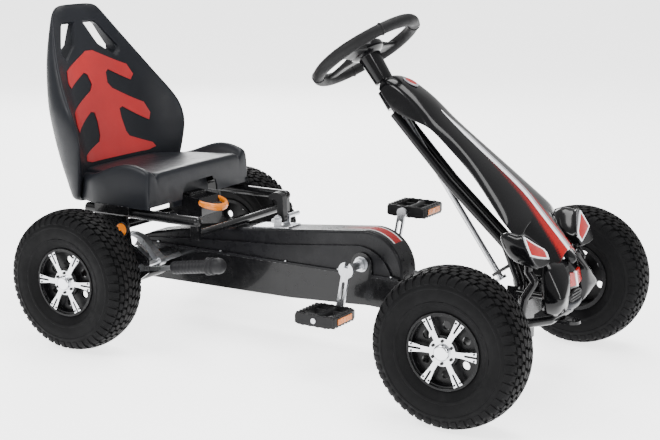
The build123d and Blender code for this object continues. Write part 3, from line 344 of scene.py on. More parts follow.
def sharpen(piece, degrees=32):
    shape = bmesh.new()
    shape.from_mesh(piece.data)
    for face in shape.faces:
        face.smooth = True
    for edge in shape.edges:
        if len(edge.link_faces) == 2:
            edge.smooth = edge.calc_face_angle(0.0) < math.radians(degrees)
    shape.to_mesh(piece.data)
    shape.free()


def prism(outline, low, high, axis="z"):
    """A closed prism. The outline is in the two other axes, in x, y, z order."""
    count = len(outline)
    order = {"x": lambda a, b, h: (h, a, b), "y": lambda a, b, h: (a, h, b),
             "z": lambda a, b, h: (a, b, h)}[axis]
    verts = [order(a, b, h) for h in (low, high) for a, b in outline]
    faces = [tuple(range(count)), tuple(range(2 * count - 1, count - 1, -1))]
    faces += [(i, (i + 1) % count, count + (i + 1) % count, count + i) for i in range(count)]
    return verts, faces


def box(x0, x1, y0, y1, z0, z1):
    return prism([(x0, y0), (x1, y0), (x1, y1), (x0, y1)], z0, z1)


def merge(*shapes):
    verts, faces = [], []
    for more_verts, more_faces in shapes:
        start = len(verts)
        verts += more_verts
        faces += [tuple(start + i for i in face) for face in more_faces]
    return verts, faces


def lathe(profile, segments, axis="y"):
    """Turns a closed outline of (radius, height) points about an axis."""
    verts, faces = [], []
    count = len(profile)
    for step in range(segments):
        turn = 2 * math.pi * step / segments
        for radius, height in profile:
            a, b = radius * math.cos(turn), radius * math.sin(turn)
            verts.append((a, height, b) if axis == "y" else (a, b, height))
    for step in range(segments):
        here, there = step * count, (step + 1) % segments * count
        for i in range(count):
            j = (i + 1) % count
            faces.append((here + i, here + j, there + j, there + i))
    return verts, faces


def loft(rings, closed=True, caps=True):
    """Joins rings of equal length into a skin."""
    count = len(rings[0])
    verts = [point for ring in rings for point in ring]
    faces = []
    for row in range(len(rings) - 1):
        for i in range(count if closed else count - 1):
            j = (i + 1) % count
            faces.append((row * count + i, row * count + j,
                          (row + 1) * count + j, (row + 1) * count + i))
    if caps:
        faces.append(tuple(range(count)))
        faces.append(tuple(len(verts) - 1 - i for i in range(count)))
    return verts, faces


def turned(shape, matrix):
    verts, faces = shape
    return [tuple(matrix @ Vector(v)) for v in verts], faces


def curve_through(table, x, column):
    """Smooth value of one column of a table of rows, at a position in its first column."""
    rows = sorted(table)
    x = min(max(x, rows[0][0]), rows[-1][0])
    for i in range(len(rows) - 1):
        if x <= rows[i + 1][0]:
            break
    a, b = rows[i], rows[i + 1]
    before, after = rows[max(i - 1, 0)], rows[min(i + 2, len(rows) - 1)]
    t = (x - a[0]) / (b[0] - a[0])
    slope_a = (b[column] - before[column]) / max(b[0] - before[0], 1e-6) * (b[0] - a[0])
    slope_b = (after[column] - a[column]) / max(after[0] - a[0], 1e-6) * (b[0] - a[0])
    return ((2 * t**3 - 3 * t**2 + 1) * a[column] + (t**3 - 2 * t**2 + t) * slope_a
            + (-2 * t**3 + 3 * t**2) * b[column] + (t**3 - t**2) * slope_b)


def sharp_share(mesh, index, share):
    """Keeps one edge tighter when the mesh is subdivided."""
    creases = mesh.attributes.get("crease_edge") or mesh.attributes.new("crease_edge", "FLOAT", "EDGE")
    creases.data[index].value = share


def centre(node):
    low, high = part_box(node)
    return (low + high) / 2 / MM


# ---------------------------------------------------------------- CAD nodes that stay
KEPT = {
    "paint": ["main_beam", "rear_frame", "axle_beam", "strut_frame", "bumper", "knuckle_right",
              "knuckle_left", "track_rod", "seat_mount"],
    "case": ["chain_cover"],
    "zinc": ["cover_bolts", "axle_bearings", "kingpins", "chain", "crank_bearings", "gear_bracket",
             "steering_column", "rear_axle", "rear_sprocket", "brake_drum", "crank_axle",
             "chainwheel", "crank_right", "crank_left", "brake_shaft", "brake_lever",
             "bearings_rear_right", "bearings_front_right", "bearings_front_left"],
    "gloss": ["head_shroud"],
    "plastic": ["steering_bushes", "gear_lever"],
}
CORNERS = ["rear_right", "rear_left", "front_right", "front_left"]
for corner in CORNERS:
    KEPT.setdefault("rim", []).append(f"rim_{corner}")
    KEPT.setdefault("alloy", []).append(f"trim_{corner}")
    KEPT.setdefault("chrome", []).append(f"hub_cap_{corner}")

BEVELS = {"main_beam": 1.2, "rear_frame": 1.0, "chain_cover": 1.5, "axle_beam": 1.2,
          "seat_mount": 2.0, "head_shroud": 2.0, "gear_lever": 3.0, "crank_right": 0.8,
          "crank_left": 0.8}
for material, names in KEPT.items():
    for name in names:
        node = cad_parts[name]
        node.data.materials.clear()
        node.data.materials.append(M[material])
        if name not in ("chain", "chainwheel", "rear_sprocket"):
            add_bevel(node, BEVELS.get(name, 0.5))


# ---------------------------------------------------------------- tyres
SIDE = [(73, 34.9), (78, 39.2), (84, 43.2), (89, 45.8), (90, 47.0), (94, 47.6), (95, 46.9),
        (102, 48.6), (109, 49.2), (117, 48.7), (118, 49.5), (121, 49.2), (122, 48.2),
        (128, 46.7), (133, 44.6), (136.4, 42), (137.6, 39), (139.6, 33), (142, 26), (144.3, 17),
        (145.6, 8)]
INNER = [(138, 0), (134, 28), (120, 37), (100, 37), (77, 27), (68.5, 27), (68.5, 34.9)]


def crown(y):
    return 150 - (99 - math.sqrt(99**2 - y**2))


def tread_block(path, start, end, skew, depth=4.6):
    """One tread block that follows a path of (radius, y) points across the tyre."""
    verts, faces = [], []
    for radius, y in path:
        for drop in (0.0, depth):
            for turn in (start + skew * y, end + skew * y):
                r = radius - drop
                shift = -math.copysign(drop * 0.35, y) if abs(y) > 40 else 0.0
                verts.append((r * math.cos(turn), y + shift, r * math.sin(turn)))
    count = len(path)
    for i in range(count - 1):
        a, b = 4 * i, 4 * (i + 1)
        faces += [(a, a + 1, b + 1, b), (a + 2, b + 2, b + 3, a + 3),
                  (a, b, b + 2, a + 2), (a + 1, a + 3, b + 3, b + 1)]
    faces += [(0, 2, 3, 1), (4 * count - 4, 4 * count - 3, 4 * count - 1, 4 * count - 2)]
    return verts, faces


def tyre_shape():
    profile = SIDE + [(146, 0)] + [(r, -y) for r, y in reversed(SIDE)]
    inside = [(r, -y) for r, y in reversed(INNER[1:])] + INNER
    shapes = [lathe(profile + inside, 168)]
    pitch = 2 * math.pi / 48
    rows = [(0.8, 10.2, 0.0, 0.72, 0.0030), (12.2, 21.4, 0.5, 0.72, 0.0030),
            (23.4, 32.2, 0.0, 0.70, 0.0030)]
    for side in (1, -1):
        for k in range(48):
            for low, high, stagger, length, skew in rows:
                begin = (k + stagger + (0.25 if side < 0 else 0)) * pitch
                path = [(crown(y), side * y) for y in (low, (low + high) / 2, high)]
                shapes.append(tread_block(path, begin, begin + pitch * length, side * skew))
            begin = (k + 0.5 + (0.25 if side < 0 else 0)) * pitch
            lug = [(crown(34.4), side * 34.4), (141.6, side * 39.5), (137.6, side * 44.0),
                   (131.5, side * 46.9), (127.0, side * 48.0)]
            shapes.append(tread_block(lug, begin, begin + pitch * 0.62, side * 0.002, 3.4))
    return merge(*shapes)


tyre_verts, tyre_faces = tyre_shape()
for corner in CORNERS:
    body = "rear_axle" if corner == "rear_left" else f"wheel_{corner}"
    tyre = place(f"tread_{corner}", tyre_verts, tyre_faces, body, "tyre", at=centre(f"tyre_{corner}"))
    add_bevel(tyre, 0.7, 1)
    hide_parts(f"tyre_{corner}")

# ---------------------------------------------------------------- wheel bolts and rim ring
for corner in CORNERS:
    body = "rear_axle" if corner == "rear_left" else f"wheel_{corner}"
    side = -1 if corner.endswith("right") else 1
    low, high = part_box(f"trim_{corner}")
    face = (high.y if side > 0 else low.y) / MM
    hub = centre(f"trim_{corner}")
    bolts = []
    for k in range(6):
        turn = math.pi / 3 * k + math.pi / 6
        x, z = 21 * math.cos(turn), 21 * math.sin(turn)
        hexagon = [(x + 3.1 * math.cos(a * math.pi / 3), z + 3.1 * math.sin(a * math.pi / 3))
                   for a in range(6)]
        bolts.append(prism(hexagon, 0, side * 3, "y"))
    for k in range(6):
        for off in (-6.3, 6.3):
            turn = math.pi / 3 * k
            x = 62.5 * math.cos(turn) - off * math.sin(turn)
            z = 62.5 * math.sin(turn) + off * math.cos(turn)
            ring = [(x + 2.0 * math.cos(a * math.pi / 5), z + 2.0 * math.sin(a * math.pi / 5))
                    for a in range(10)]
            bolts.append(prism(ring, 0, side * 1.4, "y"))
    verts, faces = merge(*bolts)
    place(f"wheel_bolts_{corner}", verts, faces, body, "plastic", bevel=0.4, at=(hub.x, face, hub.z))

# ---------------------------------------------------------------- seat
BACK = [  # z, half width, rim x, panel x, back x
    (274, 168, -505, -524, -530), (292, 176, -490, -520, -545), (330, 184, -480, -518, -560),
    (358, 189, -475, -516, -572), (390, 194, -471, -532, -582), (422, 198, -468, -541, -590),
    (462, 197, -480, -554, -601), (492, 189, -503, -564, -609), (532, 170, -536, -577, -620),
    (574, 149, -566, -593, -631), (610, 128, -590, -611, -639), (646, 106, -612, -626, -644),
    (672, 90, -628, -636, -646), (687, 78, -634, -640, -647), (695, 65, -636, -640.5, -647),
    (698, 48, -638, -641, -646)]


def front_of_back(y, z):
    """x of the seat back's front face at a point."""
    half, rim, panel = (curve_through(BACK, z, c) for c in (1, 2, 3))
    share = min(abs(y) / half, 1.0)
    rise = max(0.0, (share - 0.44) / 0.54) ** 1.7
    return panel + (rim - panel) * min(rise, 1.0)


def back_section(z, half, rim, panel, back):
    front = []
    for share in (0, 0.2, 0.4, 0.55, 0.66, 0.76, 0.85, 0.92, 0.965):
        front.append((front_of_back(share * half, z), share * half))
    deep = rim - back
    outer = [(rim - 0.06 * deep, half), (rim - 0.28 * deep, half * 0.998),
             (rim - 0.6 * deep, half * 0.95), (back + 0.12 * deep, half * 0.82),
             (back + 0.03 * deep, half * 0.6), (back, half * 0.3), (back, 0)]
    right = [(x, -y, z) for x, y in front[1:] + outer[:-1]]
    left = [(x, y, z) for x, y in reversed(front[1:] + outer[:-1])]
    return [(front[0][0], 0, z)] + right + [(back, 0, z)] + left


rings = [back_section(*row) for row in BACK]
crown_ring = [(-642 + 0.3 * (x + 642), y * 0.55, 698.6) for x, y, z in rings[-1]]
verts, faces = loft(rings + [crown_ring])
seat_back = place("seat_back", verts, faces, "seat", "seat", subdivide=2)
apply_modifiers(seat_back)
SLOT = [(19, 655), (54, 655), (63, 649), (96, 599), (95, 590), (82, 581), (43, 608), (38, 617)]


def scaled(outline, factor):
    middle = Vector((sum(p[0] for p in outline), sum(p[1] for p in outline))) / len(outline)
    return [tuple(middle + (Vector(p) - middle) * factor) for p in outline]


tools = []
for side in (-1, 1):
    pocket = []
    for shift, factor in ((5.0, 1.24), (-5.0, 1.02)):
        pocket.append([(front_of_back(y, z) + shift, side * y, z) for y, z in scaled(SLOT, factor)])
    tools.append(loft(pocket))
    tools.append(prism([(side * y, z) for y, z in SLOT], -700, -560, "x"))
cut(seat_back, tools)
sharpen(seat_back, 40)
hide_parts("seat")

# Red inlay: a trunk with two pairs of arms and a flared foot, laid on the front face.
INLAY = [
    (12, 594), (28, 587), (104, 556), (114, 532), (104, 520), (42, 549), (32, 543), (27, 520),
    (38, 507), (122, 467), (130, 442), (124, 426), (56, 463), (44, 460), (42, 440), (46, 408),
    (54, 396), (118, 374), (124, 364), (102, 358), (0, 358)]


def front_slab(touch, y_reach, z_low, z_high, lift, depth):
    """A closed slab that follows the seat back's moulded front face."""
    ys = [-y_reach + 2 * y_reach * i / 52 for i in range(53)]
    zs = [z_low + (z_high - z_low) * k / 48 for k in range(49)]
    rings = []
    for z in zs:
        faces_x = []
        for y in ys:
            hit = touch.ray_cast(Vector((-0.3, y * MM, z * MM)), Vector((-1, 0, 0)))[0]
            faces_x.append(hit.x / MM if hit else front_of_back(y, z))
        outer = [(x + lift, y, z) for x, y in zip(faces_x, ys)]
        inner = [(x - depth, y, z) for x, y in zip(reversed(faces_x), reversed(ys))]
        rings.append(outer + inner)
    return loft(rings)


def intersect(piece, tool_shape):
    """Keeps only what lies inside a closed tool mesh."""
    verts, faces = tool_shape
    tool = place("tool", verts, faces, "seat", "seat")
    modifier = piece.modifiers.new("keep", "BOOLEAN")
    modifier.operation = "INTERSECT"
    modifier.object = tool
    modifier.solver = "EXACT"
    bpy.context.view_layer.update()
    apply_modifiers(piece)
    bpy.data.objects.remove(tool)


touch = BVHTree.FromObject(seat_back, bpy.context.evaluated_depsgraph_get())
verts, faces = front_slab(touch, 145, 348, 604, 1.6, 3.0)
inlay = place("seat_inlay", verts, faces, "seat", "seat_red")
outline = INLAY + [(-y, z) for y, z in reversed(INLAY[:-1])]
intersect(inlay, prism(outline, -700, -400, "x"))
inlay.data.materials.clear()
inlay.data.materials.append(M["seat_red"])
sharpen(inlay, 40)
add_bevel(inlay, 0.8)

# Cushion: a moulded shell, open underneath, with a groove between its top and the side bolsters.
def cushion_top(x, y):
    """Height of the cushion at a point: flat middle, groove, and bolsters that swell forward."""
    middle = 350 + 14 * min(max((x + 520) / 215, 0), 1)
    swell = math.exp(-((x + 350) / 78) ** 2)
    bolster = 338 + 12 * min(max((x + 520) / 120, 0), 1) + 33 * swell
    share = abs(y)
    if share < 150:
        return middle - 1.5 * (share / 150) ** 2
    if share < 156:
        return middle - 1.5 - 6 * (share - 150) / 6
    if share < 160:
        return middle - 7.5 + (bolster - middle) * 0.3 * (share - 156) / 4
    lift = math.sin(min((share - 160) / 18, 1.0) * math.pi / 2)
    return middle - 7.5 + (bolster - middle + 7.5) * (0.3 + 0.7 * lift)


def cushion_section(x, shrink, drop):
    rows = [288, 300, 318, 334]
    ring = []
    for z in rows:
        ring.append((x, -(188 - shrink + 2 * math.sin((z - 288) / 60)), z))
    across = [-186, -181, -174, -167, -162, -159, -156, -153, -149, -138, -100, -50, 0]
    across += [-y for y in reversed(across[:-1])]
    for y in across:
        factor = (188 - shrink) / 188
        edge = 6 * max(0.0, (abs(y) - 170) / 16) ** 2
        ring.append((x, y * factor, cushion_top(x, y) - edge - drop))
    for z in reversed(rows):
        ring.append((x, 188 - shrink + 2 * math.sin((z - 288) / 60), z))
    return ring


stations = [(-540, 44, 8), (-532, 38, 3), (-515, 32, 0), (-490, 24, 0), (-468, 12, 0), (-448, 4, 0),
            (-428, 0, 0),
            (-405, 0, 0), (-380, 0, 0), (-360, 0, 0), (-340, 0, 0), (-322, 0, 0), (-306, 0, 0),
            (-298, 0.5, 0.8), (-293.5, 1.5, 4)]
rings = [cushion_section(*station) for station in stations]
front_ring = rings[-1]
for share, x in ((0.8, -292), (0.45, -291.5), (0.05, -292)):
    rings.append([(x, y * (0.985 if share > 0.5 else 0.98), 288 + (z - 288) * share)
                  for _, y, z in front_ring])
verts, faces = loft(rings, closed=False, caps=False)
cushion = place("seat_cushion", verts, faces, "seat", "seat", subdivide=1)
wall = cushion.modifiers.new("wall", "SOLIDIFY")
wall.thickness = 0.004
wall.offset = -1.0
apply_modifiers(cushion)
arch = [(-66, 270), (66, 270), (66, 300), (60, 316), (48, 327), (-48, 327), (-60, 316), (-66, 300)]
cut(cushion, [prism(arch, -318, -270, "x")])
sharpen(cushion, 38)
verts, faces = prism([(y, z) for y, z in scaled(arch, 0.985)], -322, -317, "x")
place("seat_arch_wall", verts, faces, "seat", "seat", bevel=1.0)

# Seat release handle: a thick crescent under the front of the cushion.
rings = []
for step in range(25):
    turn = math.radians(-100 + 200 * step / 24)
    middle = Vector((-264 + 34 * math.cos(turn), 36 * math.sin(turn), 280 - 9 * math.cos(turn)))
    across = Vector((math.cos(turn), math.sin(turn), 0))
    fat = 0.62 + 0.38 * math.cos(turn / 1.35)
    rings.append([tuple(middle + across * (5.2 * fat * math.cos(a)) + Vector((0, 0, 8.5 * fat * math.sin(a))))
                  for a in (2 * math.pi * k / 12 for k in range(12))])
verts, faces = loft(rings)
handle = place("seat_handle_grip", verts, faces, "seat_handle", "amber", subdivide=1)
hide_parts("seat_handle")

# ---------------------------------------------------------------- fairing
UPPER = [  # x, ridge z, ridge half width, shoulder y, shoulder z, edge y, edge z
    (176, 584, 12, 27, 577, 33, 562), (184, 588, 16, 33, 581, 38, 560), (200, 588.5, 19, 38, 579, 44, 540),
    (225, 581, 20, 42, 568, 47, 521), (250, 567, 18, 44, 553, 50, 513), (278, 549, 15, 46, 534, 53, 506),
    (306, 523, 10.5, 44, 512, 56, 497), (347, 491, 10, 44, 482, 56, 462), (395, 454, 10, 52, 444, 66, 425),
    (440, 420, 10, 68, 404, 84, 386), (479, 389, 10, 84, 368, 102, 349), (501, 368, 10, 93, 347, 112, 333),
    (512, 356, 10, 86, 336, 106, 318), (524, 342, 10, 72, 324, 90, 300)]
LOWER = [
    (499, 369, 10, 52, 360, 76, 330), (522, 345, 10, 52, 334, 75, 296), (546, 319, 10, 49, 306, 71, 266),
    (568, 296, 10, 42, 284, 60, 248), (584, 279, 9.5, 34, 268, 50, 238)]


def fairing_section(table, x):
    ridge, flat, sy, sz, ey, ez = (curve_through(table, x, c) for c in range(1, 7))
    right = [(x, flat * 0.5, ridge + 0.6), (x, flat, ridge),
             (x, flat + 0.4 * (sy - flat), ridge - 0.22 * (ridge - sz)),
             (x, flat + 0.75 * (sy - flat), ridge - 0.6 * (ridge - sz)), (x, sy, sz),
             (x, sy + 0.55 * (ey - sy), sz - 0.4 * (sz - ez)), (x, ey, ez + 2), (x, ey - 0.4, ez)]
    left = [(px, -py, pz) for px, py, pz in reversed(right)]
    return left + [(x, 0, ridge + 1.0)] + right


def shell(name, rings, body, material, thickness, levels=2):
    verts, faces = loft(rings, closed=False, caps=False)
    piece = place(name, verts, faces, body, material, subdivide=levels)
    modifier = piece.modifiers.new("wall", "SOLIDIFY")
    modifier.thickness = thickness * MM
    modifier.offset = -1.0
    piece.modifiers.move(1, 0)
    return piece


upper_x = [176, 180, 186, 196, 210, 228, 248, 268, 288, 306, 326,
           350, 380, 410, 440, 465, 485, 500, 507, 515, 523]
lower_x = [499.5, 502, 515, 530, 546, 560, 572, 580, 584]
upper = shell("fairing_upper", [fairing_section(UPPER, x) for x in upper_x], "chassis", "fairing", 3.2)
lower = shell("fairing_lower", [fairing_section(LOWER, x) for x in lower_x], "chassis", "fairing", 3.2)
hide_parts("fairing")
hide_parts("fairing")


def ridge_height(x):
    return curve_through(UPPER, x, 1) if x < 500 else curve_through(LOWER, x, 1)


def stripe(name, start, end, low_y, high_y, material, lift):
    """A thin raised strip along the fairing's ridge."""
    rings = []
    for step in range(31):
        x = start + (end - start) * step / 30
        grow = min(1.0, 0.25 + step / 8)
        a, b = low_y * grow, high_y * grow
        z = ridge_height(x) + 1.2
        rings.append([(x, a, z - 2.4), (x, a, z + lift - 0.5), (x, a + 0.5, z + lift),
                      (x, b - 0.5, z + lift), (x, b, z + lift - 0.5), (x, b, z - 2.4)])
    verts, faces = loft(rings)
    return place(name, verts, faces, "chassis", material)


stripe("ridge_stripe_white", 302, 583, -6.5, 4.0, "white", 0.7)
stripe("ridge_stripe_grey", 306, 580, 4.6, 12.5, "grey", 0.1)

# Oval badge with no lettering on the hood.
badge_profile = [(0.1, -1.5), (17, -1.5), (18, -0.5), (18, 0.8), (16.5, 1.6), (0.1, 2.0)]
badge = lathe(badge_profile, 48, "z")
tilt = Matrix.Rotation(math.radians(24), 4, "Y") @ Matrix.Diagonal((1.0, 0.62, 1.0, 1.0))
verts, faces = turned(badge, tilt)
place("hood_badge", verts, faces, "chassis", "grey", at=(232, 0, 579.5))
badge = lathe([(0.1, -1.0), (13.5, -1.0), (14, 0.2), (13, 1.4), (0.1, 1.8)], 48, "z")
verts, faces = turned(badge, tilt)
place("hood_badge_centre", verts, faces, "chassis", "red", at=(232.5, 0, 580.5))

# ---------------------------------------------------------------- nose
NOSE = {  # corner points of the left half: x, y, z
    "top": (585, 16, 266), "shoulder": (577, 79, 266), "wing": (613, 95, 213),
    "wing_low": (614, 95, 186), "keel": (598, 70, 162), "foot": (583, 22, 160),
    "jaw_top": (603, 38, 240), "jaw": (610, 45, 203), "jaw_low": (602, 39, 173),
    "deep_top": (588, 33, 240), "deep": (594, 38, 203), "deep_low": (588, 34, 174),
    "tail_top": (560, 82, 262), "tail": (570, 97, 212), "tail_low": (572, 97, 186),
    "tail_keel": (562, 74, 163)}
FACETS = [
    ("top", "shoulder", "wing", "jaw_top"), ("jaw_top", "wing", "jaw"), ("wing", "wing_low", "jaw"),
    ("jaw", "wing_low", "keel", "jaw_low"), ("jaw_low", "keel", "foot"),
    ("jaw_top", "jaw", "deep", "deep_top"), ("jaw", "jaw_low", "deep_low", "deep"),
    ("shoulder", "tail_top", "tail", "wing"), ("wing", "tail", "tail_low", "wing_low"),
    ("wing_low", "tail_low", "tail_keel", "keel")]
corner_names = list(NOSE)
for side in (-1, 1):
    word = "left" if side > 0 else "right"
    verts = [(x, side * y, z) for x, y, z in NOSE.values()]
    faces = [tuple(corner_names.index(corner) for corner in facet) for facet in FACETS]
    jaw = place(f"nose_{word}", verts, faces, "chassis", "gloss", subdivide=2)
    for edge in jaw.data.edges:
        pair = {corner_names[index] for index in edge.vertices}
        if pair in ({"jaw_top", "jaw"}, {"jaw", "jaw_low"}, {"wing", "wing_low"}):
            sharp_share(jaw.data, edge.index, 0.45)
    wall = jaw.modifiers.new("wall", "SOLIDIFY")
    wall.thickness = 0.003
    wall.offset = -1.0
    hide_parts("nose")

# Back wall of the mouth: black with two red panels that meet at a white bar.
rings = [[(577, y, 262), (x + 1, y, 240), (x + 6, y, 203), (x, y, 172), (580, y, 160),
          (572, y, 164), (572, y, 256)] for y, x in ((-36, 588), (-12, 592), (0, 594), (12, 592), (36, 588))]
verts, faces = loft(rings)
place("nose_mouth", verts, faces, "chassis", "gloss", bevel=1.5)
for side in (-1, 1):
    word = "left" if side > 0 else "right"
    outline = [(596.5, 4, 236), (593.0, 30, 240), (597.5, 34, 214), (601.5, 5, 211)]
    rings = [[(x + lift, side * y, z) for x, y, z in outline] for lift in (-3.0, 1.0, 1.6)]
    verts, faces = loft(rings)
    place(f"nose_panel_{word}", verts, faces, "chassis", "red", bevel=0.7)
rings = [[(597 + lift, -3.6, 238), (597 + lift, 3.6, 238),
          (602.5 + lift, 3.6, 209), (602.5 + lift, -3.6, 209)]
         for lift in (-2.0, 1.6, 2.2)]
verts, faces = loft(rings)
place("nose_white_bar", verts, faces, "chassis", "white", bevel=0.5)
knob = lathe([(0.1, 0), (9.5, 0), (11, 2), (11, 9), (9, 12.5), (5, 14.5), (0.1, 15)], 40, "z")
verts, faces = turned(knob, Matrix.Rotation(math.radians(40), 4, "Y") @ Matrix.Diagonal((1.5, 1, 1, 1)))
place("nose_knob", verts, faces, "chassis", "gloss", at=(580, 0, 262))


def oval(radius_y, radius_z, x, turns=40, middle=(0, 0)):
    return [(x, middle[0] + radius_y * math.cos(2 * math.pi * k / turns),
             middle[1] + radius_z * math.sin(2 * math.pi * k / turns)) for k in range(turns)]


rings = [oval(30, 14, 594, middle=(0, 190)), oval(31, 15, 601, middle=(0, 190)),
         oval(29, 13, 602.6, middle=(0, 190)), oval(25, 10, 600.8, middle=(0, 190))]
verts, faces = loft(rings)
grille = place("nose_oval", verts, faces, "chassis", "plastic")
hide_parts("nose_grille")
slats = [box(600, 602.6, -22, 22, z - 1.0, z + 1.0) for z in (184, 190, 196)]
verts, faces = merge(*slats)
place("nose_slats", verts, faces, "chassis", "plastic", bevel=0.4)
rings = []
for y, x, low in ((-39, 598, 166), (-30, 604, 162), (-12, 607, 160),
                  (12, 607, 160), (30, 604, 162), (39, 598, 166)):
    rings.append([(570, y, low + 1), (586, y, low - 1), (x - 5, y, low + 3), (x, y, low + 12),
                  (x - 1, y, low + 19), (x - 6, y, low + 20), (x - 12, y, low + 10), (572, y, low + 6)])
verts, faces = loft(rings)
place("nose_chin", verts, faces, "chassis", "chin", subdivide=2)

# ---------------------------------------------------------------- headlights
LEAN = math.radians(29.5)
POD = [(11, 37), (20, 38), (27, 33), (31, 14), (31, -8), (26, -26), (18, -36), (-20, -36),
       (-36, -36), (-42, -30), (-43, -12), (-34, 1), (-14, 18), (0, 31)]
LENS = [(18, 27), (22, 11), (25, -5), (-3, -15), (-32, -23), (-35, -12), (-30, -5), (-6, 10)]


def on_face(side, points, height, factor=1.0, back=0.0):
    """An outline on one headlight's leaning face, scaled, raised and moved back."""
    out = Vector((0, side, 0))
    up = Vector((-math.sin(LEAN), 0, math.cos(LEAN)))
    face_normal = Vector((math.cos(LEAN), 0, math.sin(LEAN)))
    start = Vector((563 - back, side * 121, 300)) + face_normal * height
    return [tuple(start + out * (2 + (a - 2) * factor) + up * (b * factor)) for a, b in points]


for side in (-1, 1):
    word = "left" if side > 0 else "right"
    pod_steps = [(-2.5, 0.6), (-1.6, 0.85), (-0.4, 0.93), (0.0, 0.96), (-2.5, 0.99), (-9.0, 1.0),
                 (0, 0.985, 24), (0, 0.9, 40), (0, 0.72, 52), (0, 0.4, 58)]
    rings = [on_face(side, POD, *step) for step in pod_steps]
    verts, faces = loft(rings)
    pod = place(f"headlight_{word}", verts, faces, "chassis", "gloss", subdivide=2)
    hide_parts("headlight_pods")
    rim_steps = [(-3, 1.17), (1.0, 1.17), (1.6, 1.13), (1.6, 1.03), (0.6, 1.0), (-3, 1.0)]
    rim_rings = [on_face(side, LENS, *step) for step in rim_steps]
    verts, faces = loft(rim_rings, caps=False)
    count = len(LENS)
    last = (len(rim_rings) - 1) * count
    faces += [(last + i, last + (i + 1) % count, (i + 1) % count, i) for i in range(count)]
    place(f"lens_border_{word}", verts, faces, "chassis", "white", bevel=0.6)
    glass_steps = [(-3, 1.03), (0.3, 1.03), (1.1, 0.8)]
    verts, faces = loft([on_face(side, LENS, *step) for step in glass_steps])
    glass = place(f"lens_{word}", verts, faces, "chassis", "lens", bevel=0.5)
    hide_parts("headlight_lenses")

# ---------------------------------------------------------------- steering wheel
COLUMN = Matrix(((0.809, 0.0, 0.588, 128), (0.0, 1.0, 0.0, 0), (0.588, 0.0, -0.809, 636),
                 (0, 0, 0, 1)))


def grip_radius(turn):
    """The grip swells slightly between the seams where the spokes meet it."""
    return 12.6 + 0.5 * math.cos(4 * turn)


rings = []
for step in range(96):
    turn = 2 * math.pi * step / 96
    small = grip_radius(turn)
    ring = []
    for k in range(16):
        a = 2 * math.pi * k / 16
        r = 112 + small * math.cos(a)
        ring.append((r * math.cos(turn), r * math.sin(turn), small * math.sin(a)))
    rings.append(ring)
verts, faces = loft(rings, caps=False)
faces += [(95 * 16 + i, 95 * 16 + (i + 1) % 16, (i + 1) % 16, i) for i in range(16)]
verts, faces = turned((verts, faces), COLUMN)
grip = place("wheel_grip", verts, faces, "steering", "foam", subdivide=1)
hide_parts("steering_rim")

seams = []
for angle in (-38, 38, 142, 218):
    turn = math.radians(angle)
    ring_mesh = lathe([(12.9, -1.1), (13.5, -0.5), (13.5, 0.5), (12.9, 1.1), (12.0, 1.1), (12.0, -1.1)], 32)
    move = Matrix.Rotation(turn, 4, "Z") @ Matrix.Translation((112, 0, 0))
    seams.append(turned(ring_mesh, COLUMN @ move))
verts, faces = merge(*seams)
place("wheel_seams", verts, faces, "steering", "plastic")

# Centre pad with broad side spokes and a short lower one, dished towards the hub.
spokes = []
for angle, width_in, width_out in ((90, 50, 34), (270, 50, 34), (180, 40, 26)):
    turn = math.radians(angle)
    move = Matrix.Rotation(turn, 4, "Z")
    rings = []
    for r, width, top, bottom in ((12, width_in, -9, 9), (34, width_in * 0.9, -8, 8),
                                  (58, (width_in + width_out) * 0.45, -5.5, 5),
                                  (82, width_out * 0.95, -4.5, 4.5), (101, width_out, -4.2, 4.2)):
        h = width / 2
        rings.append([(r, -h, top + 2), (r, -h + 3, top), (r, h - 3, top), (r, h, top + 2),
                      (r, h, bottom - 2), (r, h - 3, bottom), (r, -h + 3, bottom), (r, -h, bottom - 2)])
    spokes.append(turned(loft(rings), COLUMN @ move))
verts, faces = merge(*spokes)
pad = place("wheel_spokes", verts, faces, "steering", "plastic", bevel=1.2)
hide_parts("steering_pad")
hub = lathe([(0.1, -13), (20, -12.6), (30, -11), (36, -7), (38, -2), (37, 6), (30, 12), (24, 14),
             (22, 34), (20, 72), (17, 75), (0.1, 75)], 64, "z")
verts, faces = turned(hub, COLUMN @ Matrix.Diagonal((0.95, 1.12, 1, 1)))
place("wheel_hub", verts, faces, "steering", "gloss", bevel=0.8)
ring_mesh = lathe([(25.5, -11.6), (27.5, -11.2), (27.5, -12.8), (25.5, -13.4)], 64, "z")
verts, faces = turned(ring_mesh, COLUMN @ Matrix.Diagonal((0.95, 1.12, 1, 1)))
place("wheel_hub_ring", verts, faces, "steering", "chrome")

